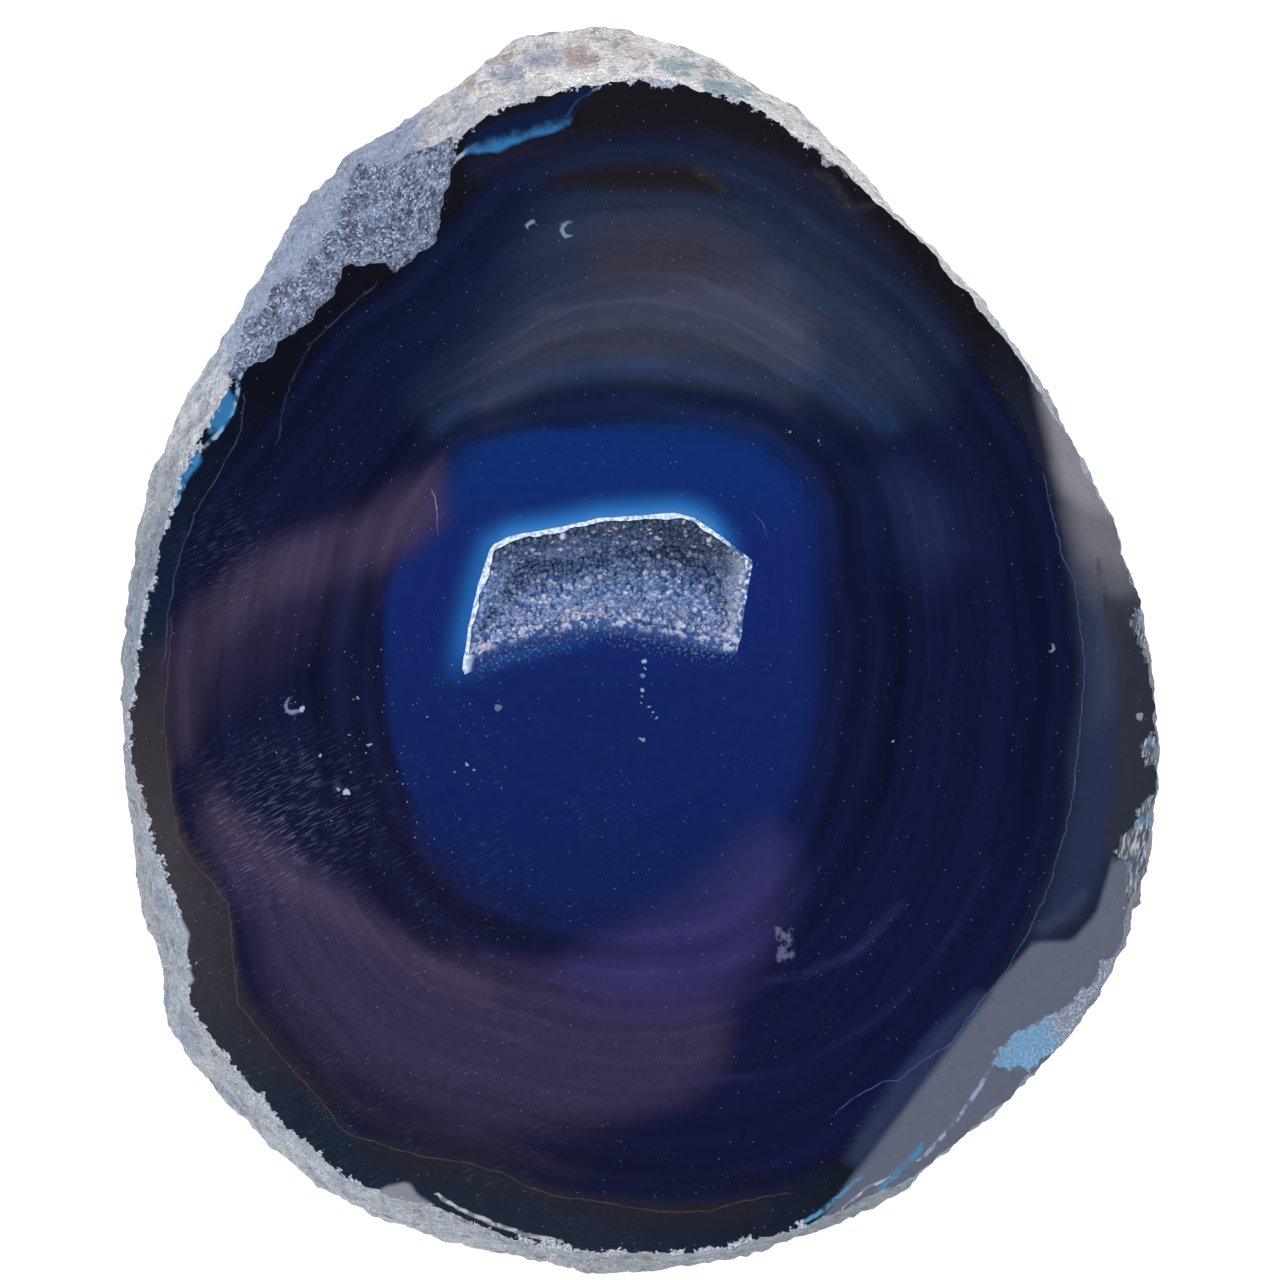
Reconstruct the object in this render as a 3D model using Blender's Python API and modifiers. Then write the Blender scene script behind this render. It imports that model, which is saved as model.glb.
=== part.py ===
"""Half of an agate nodule, dyed blue, with a polished face and a crystal-lined hollow.

The stone lies on a small flat spot of its rounded back, with its polished face up.
X runs across the face to the right, Y runs up the face, and Z points up. Metres.
The origin is at the middle of the stone's box, on the surface that it lies on.
"""
import math
import random

import bmesh
import bpy
import numpy as np
from mathutils import Vector
from mathutils import noise

MM = 0.001

# Driving sizes of the stone
THICKNESS = 50 * MM          # from the resting spot to the polished face
GIRTH_DEPTH = 16 * MM        # the widest line of the rind lies this far below the face
BACK_SQUARENESS = 2.15       # 2 is an ellipse, more is a fuller back
SPOT_CUT = 1.4 * MM          # how much of the back is ground off for the resting spot
GIRTH_SPREAD = 1.02          # the girth is this much larger than it looks from 0.6 m in front
OUTLINE_CENTRE = (0.0, -4.5)  # mm, the middle that the outlines' radii are measured from
ROUNDING = 9                 # degrees over which an outline's corners are rounded
CENTRING = (0.0, 0.25)       # mm, brings the middle of the stone's box to the origin

# Outline of the rind at the girth as it shows from the front, in mm, anticlockwise
GIRTH_OUTLINE = [
    (52.0, -6), (50.0, 4.5), (47.0, 12.5), (43.0, 20.5), (38.0, 28.5), (31.7, 36.2),
    (24.6, 44.0), (17.6, 51.8), (12.0, 55.8), (3.0, 60.5), (-4.0, 62.0), (-13.0, 60.5),
    (-18.8, 55.2), (-23.5, 52.3), (-29.0, 48.5), (-35.5, 40.5), (-40.5, 32.5), (-45.0, 24.5),
    (-48.0, 16.5), (-50.5, 8.5), (-52.0, -3), (-51.5, -17), (-49.5, -27.5), (-47.5, -32),
    (-47.2, -38.5), (-42.5, -43.5), (-35.5, -51.7), (-29.9, -56), (-20.5, -59.5),
    (-8.0, -62), (6.0, -61.5), (15.0, -59.5), (24.5, -55.5), (30.0, -51.5), (38.5, -43.5),
    (45.5, -36), (48.0, -31), (51.0, -20),
]

# Outline of the polished face before its right side was rolled off and its patch broke away, mm
FACE_OUTLINE = [
    (51.0, -6), (49.0, 4.5), (46.2, 12.5), (42.5, 20), (38.0, 28), (30.9, 36.9), (26.0, 42.5),
    (21.2, 46.6), (16.2, 50.5), (11.0, 54.0), (6.0, 55.7), (-3.0, 56.5), (-10.0, 55), (-16.0, 53),
    (-20.0, 48.5), (-27.0, 41.5), (-33.0, 35.5), (-39.8, 28.7), (-43.3, 22), (-45.0, 18.5),
    (-48.0, 10.5), (-50.5, -3.5), (-51.0, -10), (-48.6, -19.5), (-46.4, -26), (-45.0, -31.5),
    (-45.3, -35), (-43.5, -38.5), (-40.0, -43), (-35.0, -48.5), (-30.5, -52.6), (-25.5, -55),
    (-19.0, -57), (-12.0, -59.5), (-4.0, -60.7), (6.0, -60.7), (14.3, -58.8), (24.0, -54.6),
    (37.5, -42.8), (46.6, -31), (50.5, -17),
]

# Lumps of the rind: size of one lump and its height, mm, and its share of that beside the face,
# where the outlines hold the large lumps
RIND_LUMPS = [(26, 1.5, 0.0), (12, 1.0, 0.15), (6, 0.6, 0.7)]
RIND_LUMP_DEPTH = 24 * MM    # below the face, where the lumps have their whole height
RIND_PIT_SPACING = 13        # mm between the shallow pits of the rind
RIND_PIT_REACH = 0.45        # of the spacing, how far a pit reaches from its middle
RIND_PIT_DEPTH = 1.1 * MM
NODULE_SUBDIVISIONS = 5      # of the sphere that the nodule is shaped from

# Polished facets down the right side: two points of the edge with the face, mm, and the tilt
FACETS = [
    ((18.0, -57.5), (36.0, -33.5), 36),
    ((36.0, -33.5), (43.5, -15.5), 33),
    ((43.5, -15.5), (44.3, -0.5), 31),
    ((44.3, -0.5), (40.0, 20.5), 34),
    ((40.0, 20.5), (36.6, 30.5), 38),
]

# Broken patch at the upper left: its edge on the face, mm, and the outer corners of the cut
PATCH_EDGE = [
    (-18.6, 51.5), (-18.8, 48.5), (-19.5, 44.5), (-20.5, 40.5), (-24.5, 37.3), (-26.5, 38.3),
    (-29.5, 37.7), (-31.0, 34.5), (-34.0, 32), (-37.0, 29), (-41.0, 26.8),
]
PATCH_OUTSIDE = [(-58.0, 34), (-52.0, 56), (-34.0, 68), (-17.0, 66)]
PATCH_STEP = 0.9 * MM        # drop at the edge of the patch
PATCH_SLOPE = math.tan(math.radians(33))
PATCH_GRAIN = 2.6            # mm, size of the broken lumps
PATCH_GRAIN_HEIGHT = 0.7 * MM

# Hollow: the outer edge of its crystals on the face, and the mouth of its open air, mm
HOLLOW_RIM = [
    (-18.0, -3.4), (-14.5, -1.2), (-12.0, -0.6), (-8.0, 0.3), (-4.0, 0.6), (1.0, -0.2),
    (6.0, -0.8), (9.7, -1.2), (10.1, 0.8), (10.5, 4), (11.3, 8.4), (8.0, 11.0), (5.5, 12.7),
    (3.6, 13.2), (-4.0, 12.7), (-8.0, 11.8), (-13.0, 10.9), (-14.9, 9.9), (-16.2, 6),
    (-17.1, 2),
]
HOLLOW_MOUTH = [
    (-16.4, -0.6), (-12.0, 0.6), (-8.0, 2.0), (-4.0, 2.6), (-0.5, 2.0), (4.0, 1.2),
    (9.0, 0.2), (9.6, 2.8), (10.2, 8.2), (7.0, 10.8), (5.2, 12.0), (0.0, 12.1), (-4.0, 12.0),
    (-8.0, 11.2), (-12.6, 10.2), (-14.2, 9.0), (-15.3, 5.5), (-15.9, 3),
]
HOLLOW_SOUTH = 1.2           # mm, where the floor of the hollow comes up to the face
HOLLOW_NORTH = 12.5          # mm, where the floor is deepest
HOLLOW_DEPTH = 12.0 * MM
HOLLOW_CURVE = 1.6           # 1 is a straight slope, more is a rounder bowl
HOLLOW_LIP = 0.1             # of the hollow's width, how far the floor's slope runs on above
HOLLOW_LUMP = 5.0            # mm, size of the lumps of its floor
HOLLOW_LUMP_HEIGHT = 0.5 * MM
CRUST_DROP = 2.2 * MM        # from the floor of the open air down to the stone below the crust
LID = 3 * MM                 # how far the cutters stand above the face
FINE_CUTS = 3                # rounds that halve the edges of a cutter's floor
COARSE_CUTS = 2

# Crust of quartz crystals
CRUST_GAP = 0.35 * MM        # between the crust and the stone, beside the crust
GAP_BELOW = 0.525 * MM       # between the crust and the stone, below the crust
CRUST_BELOW_FACE = 0.12 * MM
CRYSTAL_PITCH = 1.3 * MM
CRYSTAL_HEIGHT = (0.4, 0.95)  # of a crystal's width, least and most
CRYSTAL_SCATTER = 0.17       # of the pitch, how far a crystal's corners wander
CRYSTAL_ROUNDS = 3           # rounds of easing that the net of crystals gets
CRYSTAL_LEAN = 0.36          # of the angle to its neighbour, the steepest side of a crystal
CRYSTAL_SEED = 3


def clear_scene():
    """Remove whatever the file holds before the model is built."""
    for old in list(bpy.data.objects):
        bpy.data.objects.remove(old, do_unlink=True)


def new_collection(name):
    """A collection linked to the scene."""
    group = bpy.data.collections.new(name)
    bpy.context.scene.collection.children.link(group)
    return group


def new_object(name, bm, group):
    """An object made from a bmesh, linked to its collection."""
    bmesh.ops.recalc_face_normals(bm, faces=bm.faces)
    mesh = bpy.data.meshes.new(name)
    bm.to_mesh(mesh)
    bm.free()
    made = bpy.data.objects.new(name, mesh)
    group.objects.link(made)
    return made


def as_cutter(cutter):
    """Show a cutter as a wire and keep it out of renders."""
    cutter.hide_render = True
    cutter.display_type = "WIRE"
    return cutter


def cut_with(target, other):
    """Cut another object out of a target."""
    cut = target.modifiers.new(other.name, "BOOLEAN")
    cut.operation = "DIFFERENCE"
    cut.solver = "EXACT"
    cut.object = other


def surface_finish(name, colour, roughness):
    """A Principled material of one colour."""
    finish = bpy.data.materials.new(name)
    finish.use_nodes = True
    shader = finish.node_tree.nodes["Principled BSDF"]
    shader.inputs["Base Color"].default_value = (*colour, 1.0)
    shader.inputs["Roughness"].default_value = roughness
    shader.inputs["Metallic"].default_value = 0.0
    return finish


def polished_agate():
    """Deep blue dyed agate."""
    return surface_finish("polished_agate", (0.012, 0.022, 0.09), 0.08)


def quartz_crystals():
    """Pale grey-blue quartz."""
    return surface_finish("quartz_crystals", (0.42, 0.5, 0.66), 0.25)


def on_stone(x, y):
    """Bring a point of the face, in mm, to the stone's own frame."""
    return (x + CENTRING[0]) * MM, (y + CENTRING[1]) * MM


def outline_radii(outline, spread):
    """Radius of a closed outline for each degree round its middle, with rounded corners."""
    points = np.array(outline) - np.array(OUTLINE_CENTRE)
    angles = np.arctan2(points[:, 1], points[:, 0])
    radii = np.hypot(points[:, 0], points[:, 1]) * spread * MM
    degrees = np.radians(np.arange(360))
    sampled = np.interp(degrees, angles, radii, period=2 * math.pi)
    window = np.hanning(ROUNDING + 2)
    window /= window.sum()
    return np.convolve(np.tile(sampled, 3), window, "same")[360:720]


def radius_at(radii, angle):
    """Radius between two whole degrees."""
    return float(np.interp(math.degrees(angle) % 360, np.arange(361), np.append(radii, radii[0])))


def rind_relief(place):
    """Lumps and shallow pits of the natural rind."""
    depth = min(max((THICKNESS - place.z) / RIND_LUMP_DEPTH, 0.0), 1.0)
    relief = 0.0
    for size, height, beside_face in RIND_LUMPS:
        share = beside_face + (1 - beside_face) * depth
        relief += noise.noise(place / (size * MM)) * height * MM * share
    nearest = noise.voronoi(place / (RIND_PIT_SPACING * MM))[0][0]
    pit = max(0.0, 1.0 - nearest / RIND_PIT_REACH)
    return relief - pit * pit * RIND_PIT_DEPTH * depth


def nodule_point(direction, girth, face):
    """Point of the whole, uncut nodule in the direction of a point of a unit sphere."""
    angle = math.atan2(direction.y, direction.x)
    across = math.hypot(direction.x, direction.y)
    girth_radius = radius_at(girth, angle)
    if direction.z >= 0:
        taper = radius_at(face, angle) / girth_radius
        crown = GIRTH_DEPTH / math.sqrt(1 - taper * taper)
        radius = girth_radius * across
        height = crown * direction.z
    else:
        power = 2 / BACK_SQUARENESS
        radius = girth_radius * across ** power
        height = -(THICKNESS - GIRTH_DEPTH + SPOT_CUT) * (-direction.z) ** power
    x, y = on_stone(*OUTLINE_CENTRE)
    place = Vector((
        x + radius * math.cos(angle),
        y + radius * math.sin(angle),
        THICKNESS - GIRTH_DEPTH + height,
    ))
    return place + direction * rind_relief(place)


def cut_flat(bm, point, normal):
    """Saw a solid along a plane and close the cut."""
    everything = bm.verts[:] + bm.edges[:] + bm.faces[:]
    cut = bmesh.ops.bisect_plane(
        bm, geom=everything, dist=1e-6, plane_co=point, plane_no=normal, clear_outer=True)
    edges = [item for item in cut["geom_cut"] if isinstance(item, bmesh.types.BMEdge)]
    bmesh.ops.edgeloop_fill(bm, edges=edges)


def facet_plane(start, end, tilt):
    """A point and the normal of a facet that leans outwards from its edge with the face."""
    along = Vector((end[0] - start[0], end[1] - start[1], 0.0)).normalized()
    outward = Vector((along.y, -along.x, 0.0))
    lean = math.radians(tilt)
    x, y = on_stone(*start)
    normal = outward * math.sin(lean) + Vector((0, 0, math.cos(lean)))
    return Vector((x, y, THICKNESS)), normal


def offset_outline(points, distance):
    """Move an anticlockwise outline outwards by a distance, all in mm."""
    moved = []
    for index, point in enumerate(points):
        before = Vector(points[index - 1])
        after = Vector(points[(index + 1) % len(points)])
        along = (after - before).normalized()
        moved.append((point[0] + along.y * distance, point[1] - along.x * distance))
    return moved


def sunk_block(name, outline, floor_height, cuts, group):
    """A block over an outline, from above the face down to a shaped floor."""
    bm = bmesh.new()
    corners = [bm.verts.new((*on_stone(x, y), THICKNESS + LID)) for x, y in outline]
    grown = bmesh.ops.extrude_face_region(bm, geom=[bm.faces.new(corners)])
    lowered = [item for item in grown["geom"] if isinstance(item, bmesh.types.BMVert)]
    floor = [item for item in grown["geom"] if isinstance(item, bmesh.types.BMFace)]
    bmesh.ops.translate(bm, verts=lowered, vec=(0, 0, -2 * LID))
    bmesh.ops.triangulate(bm, faces=floor)
    for _ in range(cuts):
        edges = [edge for edge in bm.edges if max(end.co.z for end in edge.verts) < THICKNESS]
        bmesh.ops.subdivide_edges(bm, edges=edges, cuts=1, use_grid_fill=True)
    for corner in bm.verts:
        if corner.co.z < THICKNESS:
            corner.co.z = floor_height(corner.co)
    return as_cutter(new_object(name, bm, group))


def hollow_floor(place):
    """Height of the lumpy bowl that the open air of the hollow reaches down to."""
    run = (place.y / MM - CENTRING[1] - HOLLOW_SOUTH) / (HOLLOW_NORTH - HOLLOW_SOUTH)
    run = min(max(run, -HOLLOW_LIP), 1.0)
    bowl = HOLLOW_DEPTH * (1 - (1 - run) ** HOLLOW_CURVE)
    flat = Vector((place.x, place.y, 0.0))
    return THICKNESS - bowl - noise.noise(flat / (HOLLOW_LUMP * MM)) * HOLLOW_LUMP_HEIGHT


def hollow_inside(group):
    """The open air of the hollow."""
    return sunk_block("crust_inside", HOLLOW_MOUTH, hollow_floor, FINE_CUTS, group)


def hollow_outside(group):
    """The open air of the hollow together with its crust."""

    def floor_height(place):
        return hollow_floor(place) - CRUST_DROP

    return sunk_block("crust_outside", HOLLOW_RIM, floor_height, COARSE_CUTS, group)


def pocket_cutter(group):
    """The room that the stone leaves for the crust."""

    def floor_height(place):
        return hollow_floor(place) - CRUST_DROP - GAP_BELOW

    rim = offset_outline(HOLLOW_RIM, CRUST_GAP / MM)
    return sunk_block("hollow_cutter", rim, floor_height, COARSE_CUTS, group)


def patch_floor(place):
    """Height of the broken slope that falls away from the patch's edge on the face."""
    flat = Vector((place.x, place.y, 0.0))
    run = min((flat - Vector((*on_stone(x, y), 0.0))).length for x, y in PATCH_EDGE)
    grain = noise.noise(flat / (PATCH_GRAIN * MM)) * PATCH_GRAIN_HEIGHT
    return THICKNESS - PATCH_STEP - run * PATCH_SLOPE - grain


def patch_cutter(group):
    """The broken patch: a lumpy slope below a ragged edge on the face."""
    return sunk_block("patch_cutter", PATCH_EDGE + PATCH_OUTSIDE, patch_floor, FINE_CUTS, group)


def build_nodule(group, cutters):
    """The stone: nodule, sawn face, facets, resting spot, broken patch and hollow."""
    girth = outline_radii(GIRTH_OUTLINE, GIRTH_SPREAD)
    face = outline_radii(FACE_OUTLINE, 1.0)
    bm = bmesh.new()
    bmesh.ops.create_icosphere(bm, subdivisions=NODULE_SUBDIVISIONS, radius=1.0)
    for corner in bm.verts:
        corner.co = nodule_point(corner.co.normalized(), girth, face)
    cut_flat(bm, Vector((0, 0, THICKNESS)), Vector((0, 0, 1)))
    for start, end, tilt in FACETS:
        cut_flat(bm, *facet_plane(start, end, tilt))
    cut_flat(bm, Vector((0, 0, 0)), Vector((0, 0, -1)))
    stone = new_object("agate_nodule", bm, group)
    cut_with(stone, patch_cutter(cutters))
    cut_with(stone, pocket_cutter(cutters))
    stone.data.materials.append(polished_agate())
    return stone


def open_bowl(form):
    """The surface of a hollow's form, open at the top just below the face."""
    bpy.context.view_layer.update()
    evaluated = form.evaluated_get(bpy.context.evaluated_depsgraph_get())
    bm = bmesh.new()
    bm.from_mesh(evaluated.to_mesh())
    evaluated.to_mesh_clear()
    everything = bm.verts[:] + bm.edges[:] + bm.faces[:]
    bmesh.ops.bisect_plane(
        bm, geom=everything, dist=1e-6, plane_co=(0, 0, THICKNESS - CRUST_BELOW_FACE),
        plane_no=(0, 0, 1), clear_outer=True)
    return bm


def crystal_net(cutters):
    """The inner side of the crust as an even net, one small face for each crystal."""
    form = hollow_inside(cutters)
    net = form.modifiers.new("even_net", "REMESH")
    net.mode = "VOXEL"
    net.voxel_size = CRYSTAL_PITCH
    bm = open_bowl(form)
    inside = [corner for corner in bm.verts if not corner.is_boundary]
    for _ in range(CRYSTAL_ROUNDS):
        bmesh.ops.smooth_vert(bm, verts=inside, factor=0.5, use_axis_x=True, use_axis_y=True,
                              use_axis_z=True)
    bmesh.ops.reverse_faces(bm, faces=bm.faces)
    bm.normal_update()
    return bm


def scatter_corners(bm, chance):
    """Let the corners of the net wander, so that the crystals don't stand in rows."""
    reach = CRYSTAL_SCATTER * CRYSTAL_PITCH
    highest = THICKNESS - 2 * CRUST_BELOW_FACE
    for corner in bm.verts:
        step = Vector([chance.uniform(-reach, reach) for _ in range(3)])
        if not corner.is_boundary:
            corner.co += step - corner.normal * step.dot(corner.normal)
            corner.co.z = min(corner.co.z, highest)


def room_beside(face):
    """Angle between a face and the nearest one round it, less than half a turn in a corner."""
    middle = face.calc_center_median()
    turn = 0.0
    for corner in face.verts:
        for other in corner.link_faces:
            if (other.calc_center_median() - middle).dot(face.normal) > 0:
                turn = max(turn, face.normal.angle(other.normal, 0.0))
    return math.pi - turn


def crystal_heights(bm, chance):
    """Height of the point on each face, clear of its neighbours and below the polished face."""
    ceiling = THICKNESS - CRUST_BELOW_FACE
    heights = []
    for face in sorted(bm.faces, key=lambda each: tuple(each.calc_center_median())):
        width = math.sqrt(face.calc_area())
        steepest = width * 0.5 * math.tan(room_beside(face) * CRYSTAL_LEAN)
        height = min(width * chance.uniform(*CRYSTAL_HEIGHT), steepest)
        if face.normal.z > 0:
            height = min(height, (ceiling - face.calc_center_median().z) / face.normal.z)
        heights.append((face, height))
    return heights


def raise_crystals(bm, chance):
    """Grow a three-sided point on each face of the net."""
    bmesh.ops.triangulate(bm, faces=bm.faces)
    bm.normal_update()
    for face, height in crystal_heights(bm, chance):
        bmesh.ops.poke(bm, faces=[face], offset=height)


def build_crust(group, cutters):
    """The crust of quartz crystals that lines the hollow."""
    chance = random.Random(CRYSTAL_SEED)
    crystals = crystal_net(cutters)
    scatter_corners(crystals, chance)
    raise_crystals(crystals, chance)
    inside = bpy.data.meshes.new("crust_inside")
    crystals.to_mesh(inside)
    crystals.free()
    bm = open_bowl(hollow_outside(cutters))
    bm.from_mesh(inside)
    bpy.data.meshes.remove(inside)
    sawn = [edge for edge in bm.edges if edge.is_boundary]
    bmesh.ops.triangle_fill(bm, edges=sawn, use_beauty=True, normal=(0, 0, 1))
    crust = new_object("quartz_druse", bm, group)
    crust.data.materials.append(quartz_crystals())
    return crust


def build_agate():
    """The whole part."""
    clear_scene()
    parts = new_collection("agate")
    cutters = new_collection("agate_cutters")
    build_nodule(parts, cutters)
    build_crust(parts, cutters)


build_agate()
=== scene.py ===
"""Looks of half an agate nodule, dyed blue: banded polished face, natural rind, crystal hollow.

The stone lies on a pale floor with its polished face up, and the camera looks straight down on it.
X runs across the face to the right, Y runs up the face, and Z points up. Places on the face are
given in millimetres from the middle of the stone.
"""
import math
import random

import bmesh
import bpy
import numpy as np
from mathutils import Matrix, Vector
from mathutils import noise


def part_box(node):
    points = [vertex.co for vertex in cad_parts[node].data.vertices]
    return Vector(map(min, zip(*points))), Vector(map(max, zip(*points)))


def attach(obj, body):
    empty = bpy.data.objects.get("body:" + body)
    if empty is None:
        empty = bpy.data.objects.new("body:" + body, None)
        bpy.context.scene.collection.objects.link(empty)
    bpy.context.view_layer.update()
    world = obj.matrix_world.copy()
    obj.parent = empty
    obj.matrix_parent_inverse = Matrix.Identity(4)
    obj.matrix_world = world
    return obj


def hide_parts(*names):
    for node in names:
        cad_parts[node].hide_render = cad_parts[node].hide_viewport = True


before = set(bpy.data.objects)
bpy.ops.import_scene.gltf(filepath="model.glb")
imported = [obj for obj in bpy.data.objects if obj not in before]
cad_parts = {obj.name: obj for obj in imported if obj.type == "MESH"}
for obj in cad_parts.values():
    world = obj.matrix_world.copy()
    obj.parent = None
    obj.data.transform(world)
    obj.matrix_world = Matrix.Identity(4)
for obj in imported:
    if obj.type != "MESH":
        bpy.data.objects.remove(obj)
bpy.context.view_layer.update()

MM = 0.001

# Sizes that the frame gives
STONE_LOW, STONE_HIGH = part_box("agate_nodule")
THICKNESS = STONE_HIGH.z
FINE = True

# Shape of the nodule, as the solid has it
GIRTH_DEPTH = 16 * MM        # the widest line of the rind lies this far below the face
BACK_SQUARENESS = 2.15       # 2 is an ellipse, more is a fuller back
SPOT_CUT = 1.4 * MM          # how much of the back is ground off for the resting spot
GIRTH_SPREAD = 1.02          # the girth is this much larger than it looks from the camera
OUTLINE_CENTRE = (0.0, -4.5)  # mm, the middle that the outlines' radii are measured from
ROUNDING = 9                 # degrees over which an outline's corners are rounded
CENTRING = (0.0, 0.25)       # mm, from the middle of the photographed face to the stone's middle
FAR_AWAY = 50.0              # mm
LINE_REACH = 1.2             # mm, how far from a thin line its distance is kept

GIRTH_OUTLINE = [
    (52.0, -6), (50.0, 4.5), (47.0, 12.5), (43.0, 20.5), (38.0, 28.5), (31.7, 36.2),
    (24.6, 44.0), (17.6, 51.8), (12.0, 55.8), (3.0, 60.5), (-4.0, 62.0), (-13.0, 60.5),
    (-18.8, 55.2), (-23.5, 52.3), (-29.0, 48.5), (-35.5, 40.5), (-40.5, 32.5), (-45.0, 24.5),
    (-48.0, 16.5), (-50.5, 8.5), (-52.0, -3), (-51.5, -17), (-49.5, -27.5), (-47.5, -32),
    (-47.2, -38.5), (-42.5, -43.5), (-35.5, -51.7), (-29.9, -56), (-20.5, -59.5),
    (-8.0, -62), (6.0, -61.5), (15.0, -59.5), (24.5, -55.5), (30.0, -51.5), (38.5, -43.5),
    (45.5, -36), (48.0, -31), (51.0, -20),
]
FACE_OUTLINE = [
    (51.0, -6), (49.0, 4.5), (46.2, 12.5), (42.5, 20), (38.0, 28), (30.9, 36.9), (26.0, 42.5),
    (21.2, 46.6), (16.2, 50.5), (11.0, 54.0), (6.0, 55.7), (-3.0, 56.5), (-10.0, 55), (-16.0, 53),
    (-20.0, 48.5), (-27.0, 41.5), (-33.0, 35.5), (-39.8, 28.7), (-43.3, 22), (-45.0, 18.5),
    (-48.0, 10.5), (-50.5, -3.5), (-51.0, -10), (-48.6, -19.5), (-46.4, -26), (-45.0, -31.5),
    (-45.3, -35), (-43.5, -38.5), (-40.0, -43), (-35.0, -48.5), (-30.5, -52.6), (-25.5, -55),
    (-19.0, -57), (-12.0, -59.5), (-4.0, -60.7), (6.0, -60.7), (14.3, -58.8), (24.0, -54.6),
    (37.5, -42.8), (46.6, -31), (50.5, -17),
]

# Lumps of the rind: size of one lump and its height, mm, and its share of that beside the face
RIND_LUMPS = [(26, 1.5, 0.0), (12, 1.0, 0.15), (6, 0.6, 0.7)]
RIND_GRAIN = [(2.6, 0.42), (1.2, 0.34), (0.6, 0.16)]
RIND_LUMP_DEPTH = 24 * MM
RIND_PIT_SPACING = 13
RIND_PIT_REACH = 0.45        # of the spacing, how far a pit reaches from its middle
RIND_PIT_DEPTH = 1.1 * MM
BELT = (-0.12, 0.36)         # heights on the unit sphere between which the mesh is finer

# Facets of the rolled right side: two points of the edge with the face, mm, and the tilt
FACETS = [
    ((18.0, -57.5), (36.0, -33.5), 36),
    ((36.0, -33.5), (43.5, -15.5), 33),
    ((43.5, -15.5), (44.3, -0.5), 31),
    ((44.3, -0.5), (40.0, 20.5), 34),
    ((40.0, 20.5), (36.6, 30.5), 38),
]
FACET_ROUNDING = 1.0 * MM    # of height, over which two facets flow into each other
CREASE_ANGLE = 24            # degrees; sharper edges than this stay sharp

# Broken patch at the upper left
PATCH_EDGE = [
    (-18.6, 51.5), (-18.8, 48.5), (-19.5, 44.5), (-20.5, 40.5), (-24.5, 37.3), (-26.5, 38.3),
    (-29.5, 37.7), (-31.0, 34.5), (-34.0, 32), (-37.0, 29), (-41.0, 26.8),
]
PATCH_OUTSIDE = [(-58.0, 34), (-52.0, 56), (-34.0, 68), (-17.0, 66)]
PATCH_STEP = 0.9 * MM
PATCH_SLOPE = math.tan(math.radians(33))
PATCH_GRAIN = [(2.6, 0.7), (1.1, 0.3)]
SUGAR_SIZE = 0.45            # mm, one broken quartz grain of the patch
SUGAR_HEIGHT = 0.22 * MM
RAGGED = [(1.6, 0.5), (0.7, 0.35)]  # size and reach, mm, of the teeth of a broken edge
MOUTH_RAGGED = [(2.0, 0.25), (0.9, 0.2)]

# Hollow: outer edge of its crust on the face, and mouth of its open air, mm
CRUST_RIM = [
    (-17.9, -3.2), (-14.6, -1.3), (-12.0, -0.6), (-8.0, 0.3), (-4.0, 1.2), (1.0, 0.3),
    (6.0, -0.6), (9.6, -1.0), (10.1, 0.8), (10.5, 4), (11.3, 8.4), (8.0, 11.0), (5.5, 12.7),
    (3.6, 13.2), (-4.0, 12.7), (-8.0, 11.8), (-13.0, 10.9), (-14.9, 9.9), (-16.2, 6),
    (-17.1, 2),
]
HOLLOW_MOUTH = [
    (-17.2, -1.8), (-14.0, -0.1), (-12.0, 0.7), (-8.0, 1.9), (-4.0, 2.6), (-0.5, 2.0), (4.0, 1.2),
    (9.1, 0.2), (9.8, 2.8), (10.7, 8.2), (7.7, 10.7), (5.3, 12.25), (3.5, 12.8), (0.0, 12.45),
    (-4.0, 12.3), (-8.0, 11.4), (-12.8, 10.5), (-14.5, 9.4), (-15.7, 5.7), (-16.7, 2),
]
SOUTH_EDGE = [
    (-17.5, -1.2), (-15.0, -0.2), (-12.0, 0.9), (-8.0, 1.9), (-4.0, 2.6), (-0.5, 2.3), (3.0, 1.7),
    (6.0, 0.9), (10.0, 0.3),
]
SOUTH_MIDDLE = 3.5           # the south edge is a flat arc round x = -3.5 mm
SOUTH_BEND = 0.0165          # its bend, per mm
HOLLOW_NORTH = 12.5
HOLLOW_DEPTH = 12.0 * MM
HOLLOW_CURVE = 1.6
HOLLOW_LUMPS = [(5.0, 0.4), (2.2, 0.25)]
CRUST_DROP = 2.2 * MM        # from the floor of the open air down to the stone below the crust
WALL_RISE = 9.0              # slope of the pocket's walls
INNER_WALL_RISE = 4.5        # slope of the crystal-lined walls
CRUST_FIT = 0.01 * MM        # between the crust and the stone
CRUST_BELOW_FACE = 0.01 * MM
CRYSTAL_BELOW_FACE = (0.1, 0.8)  # mm, how far the highest crystals stay below the face
LID = 4 * MM                 # how far the cutting blocks stand above the face

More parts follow.
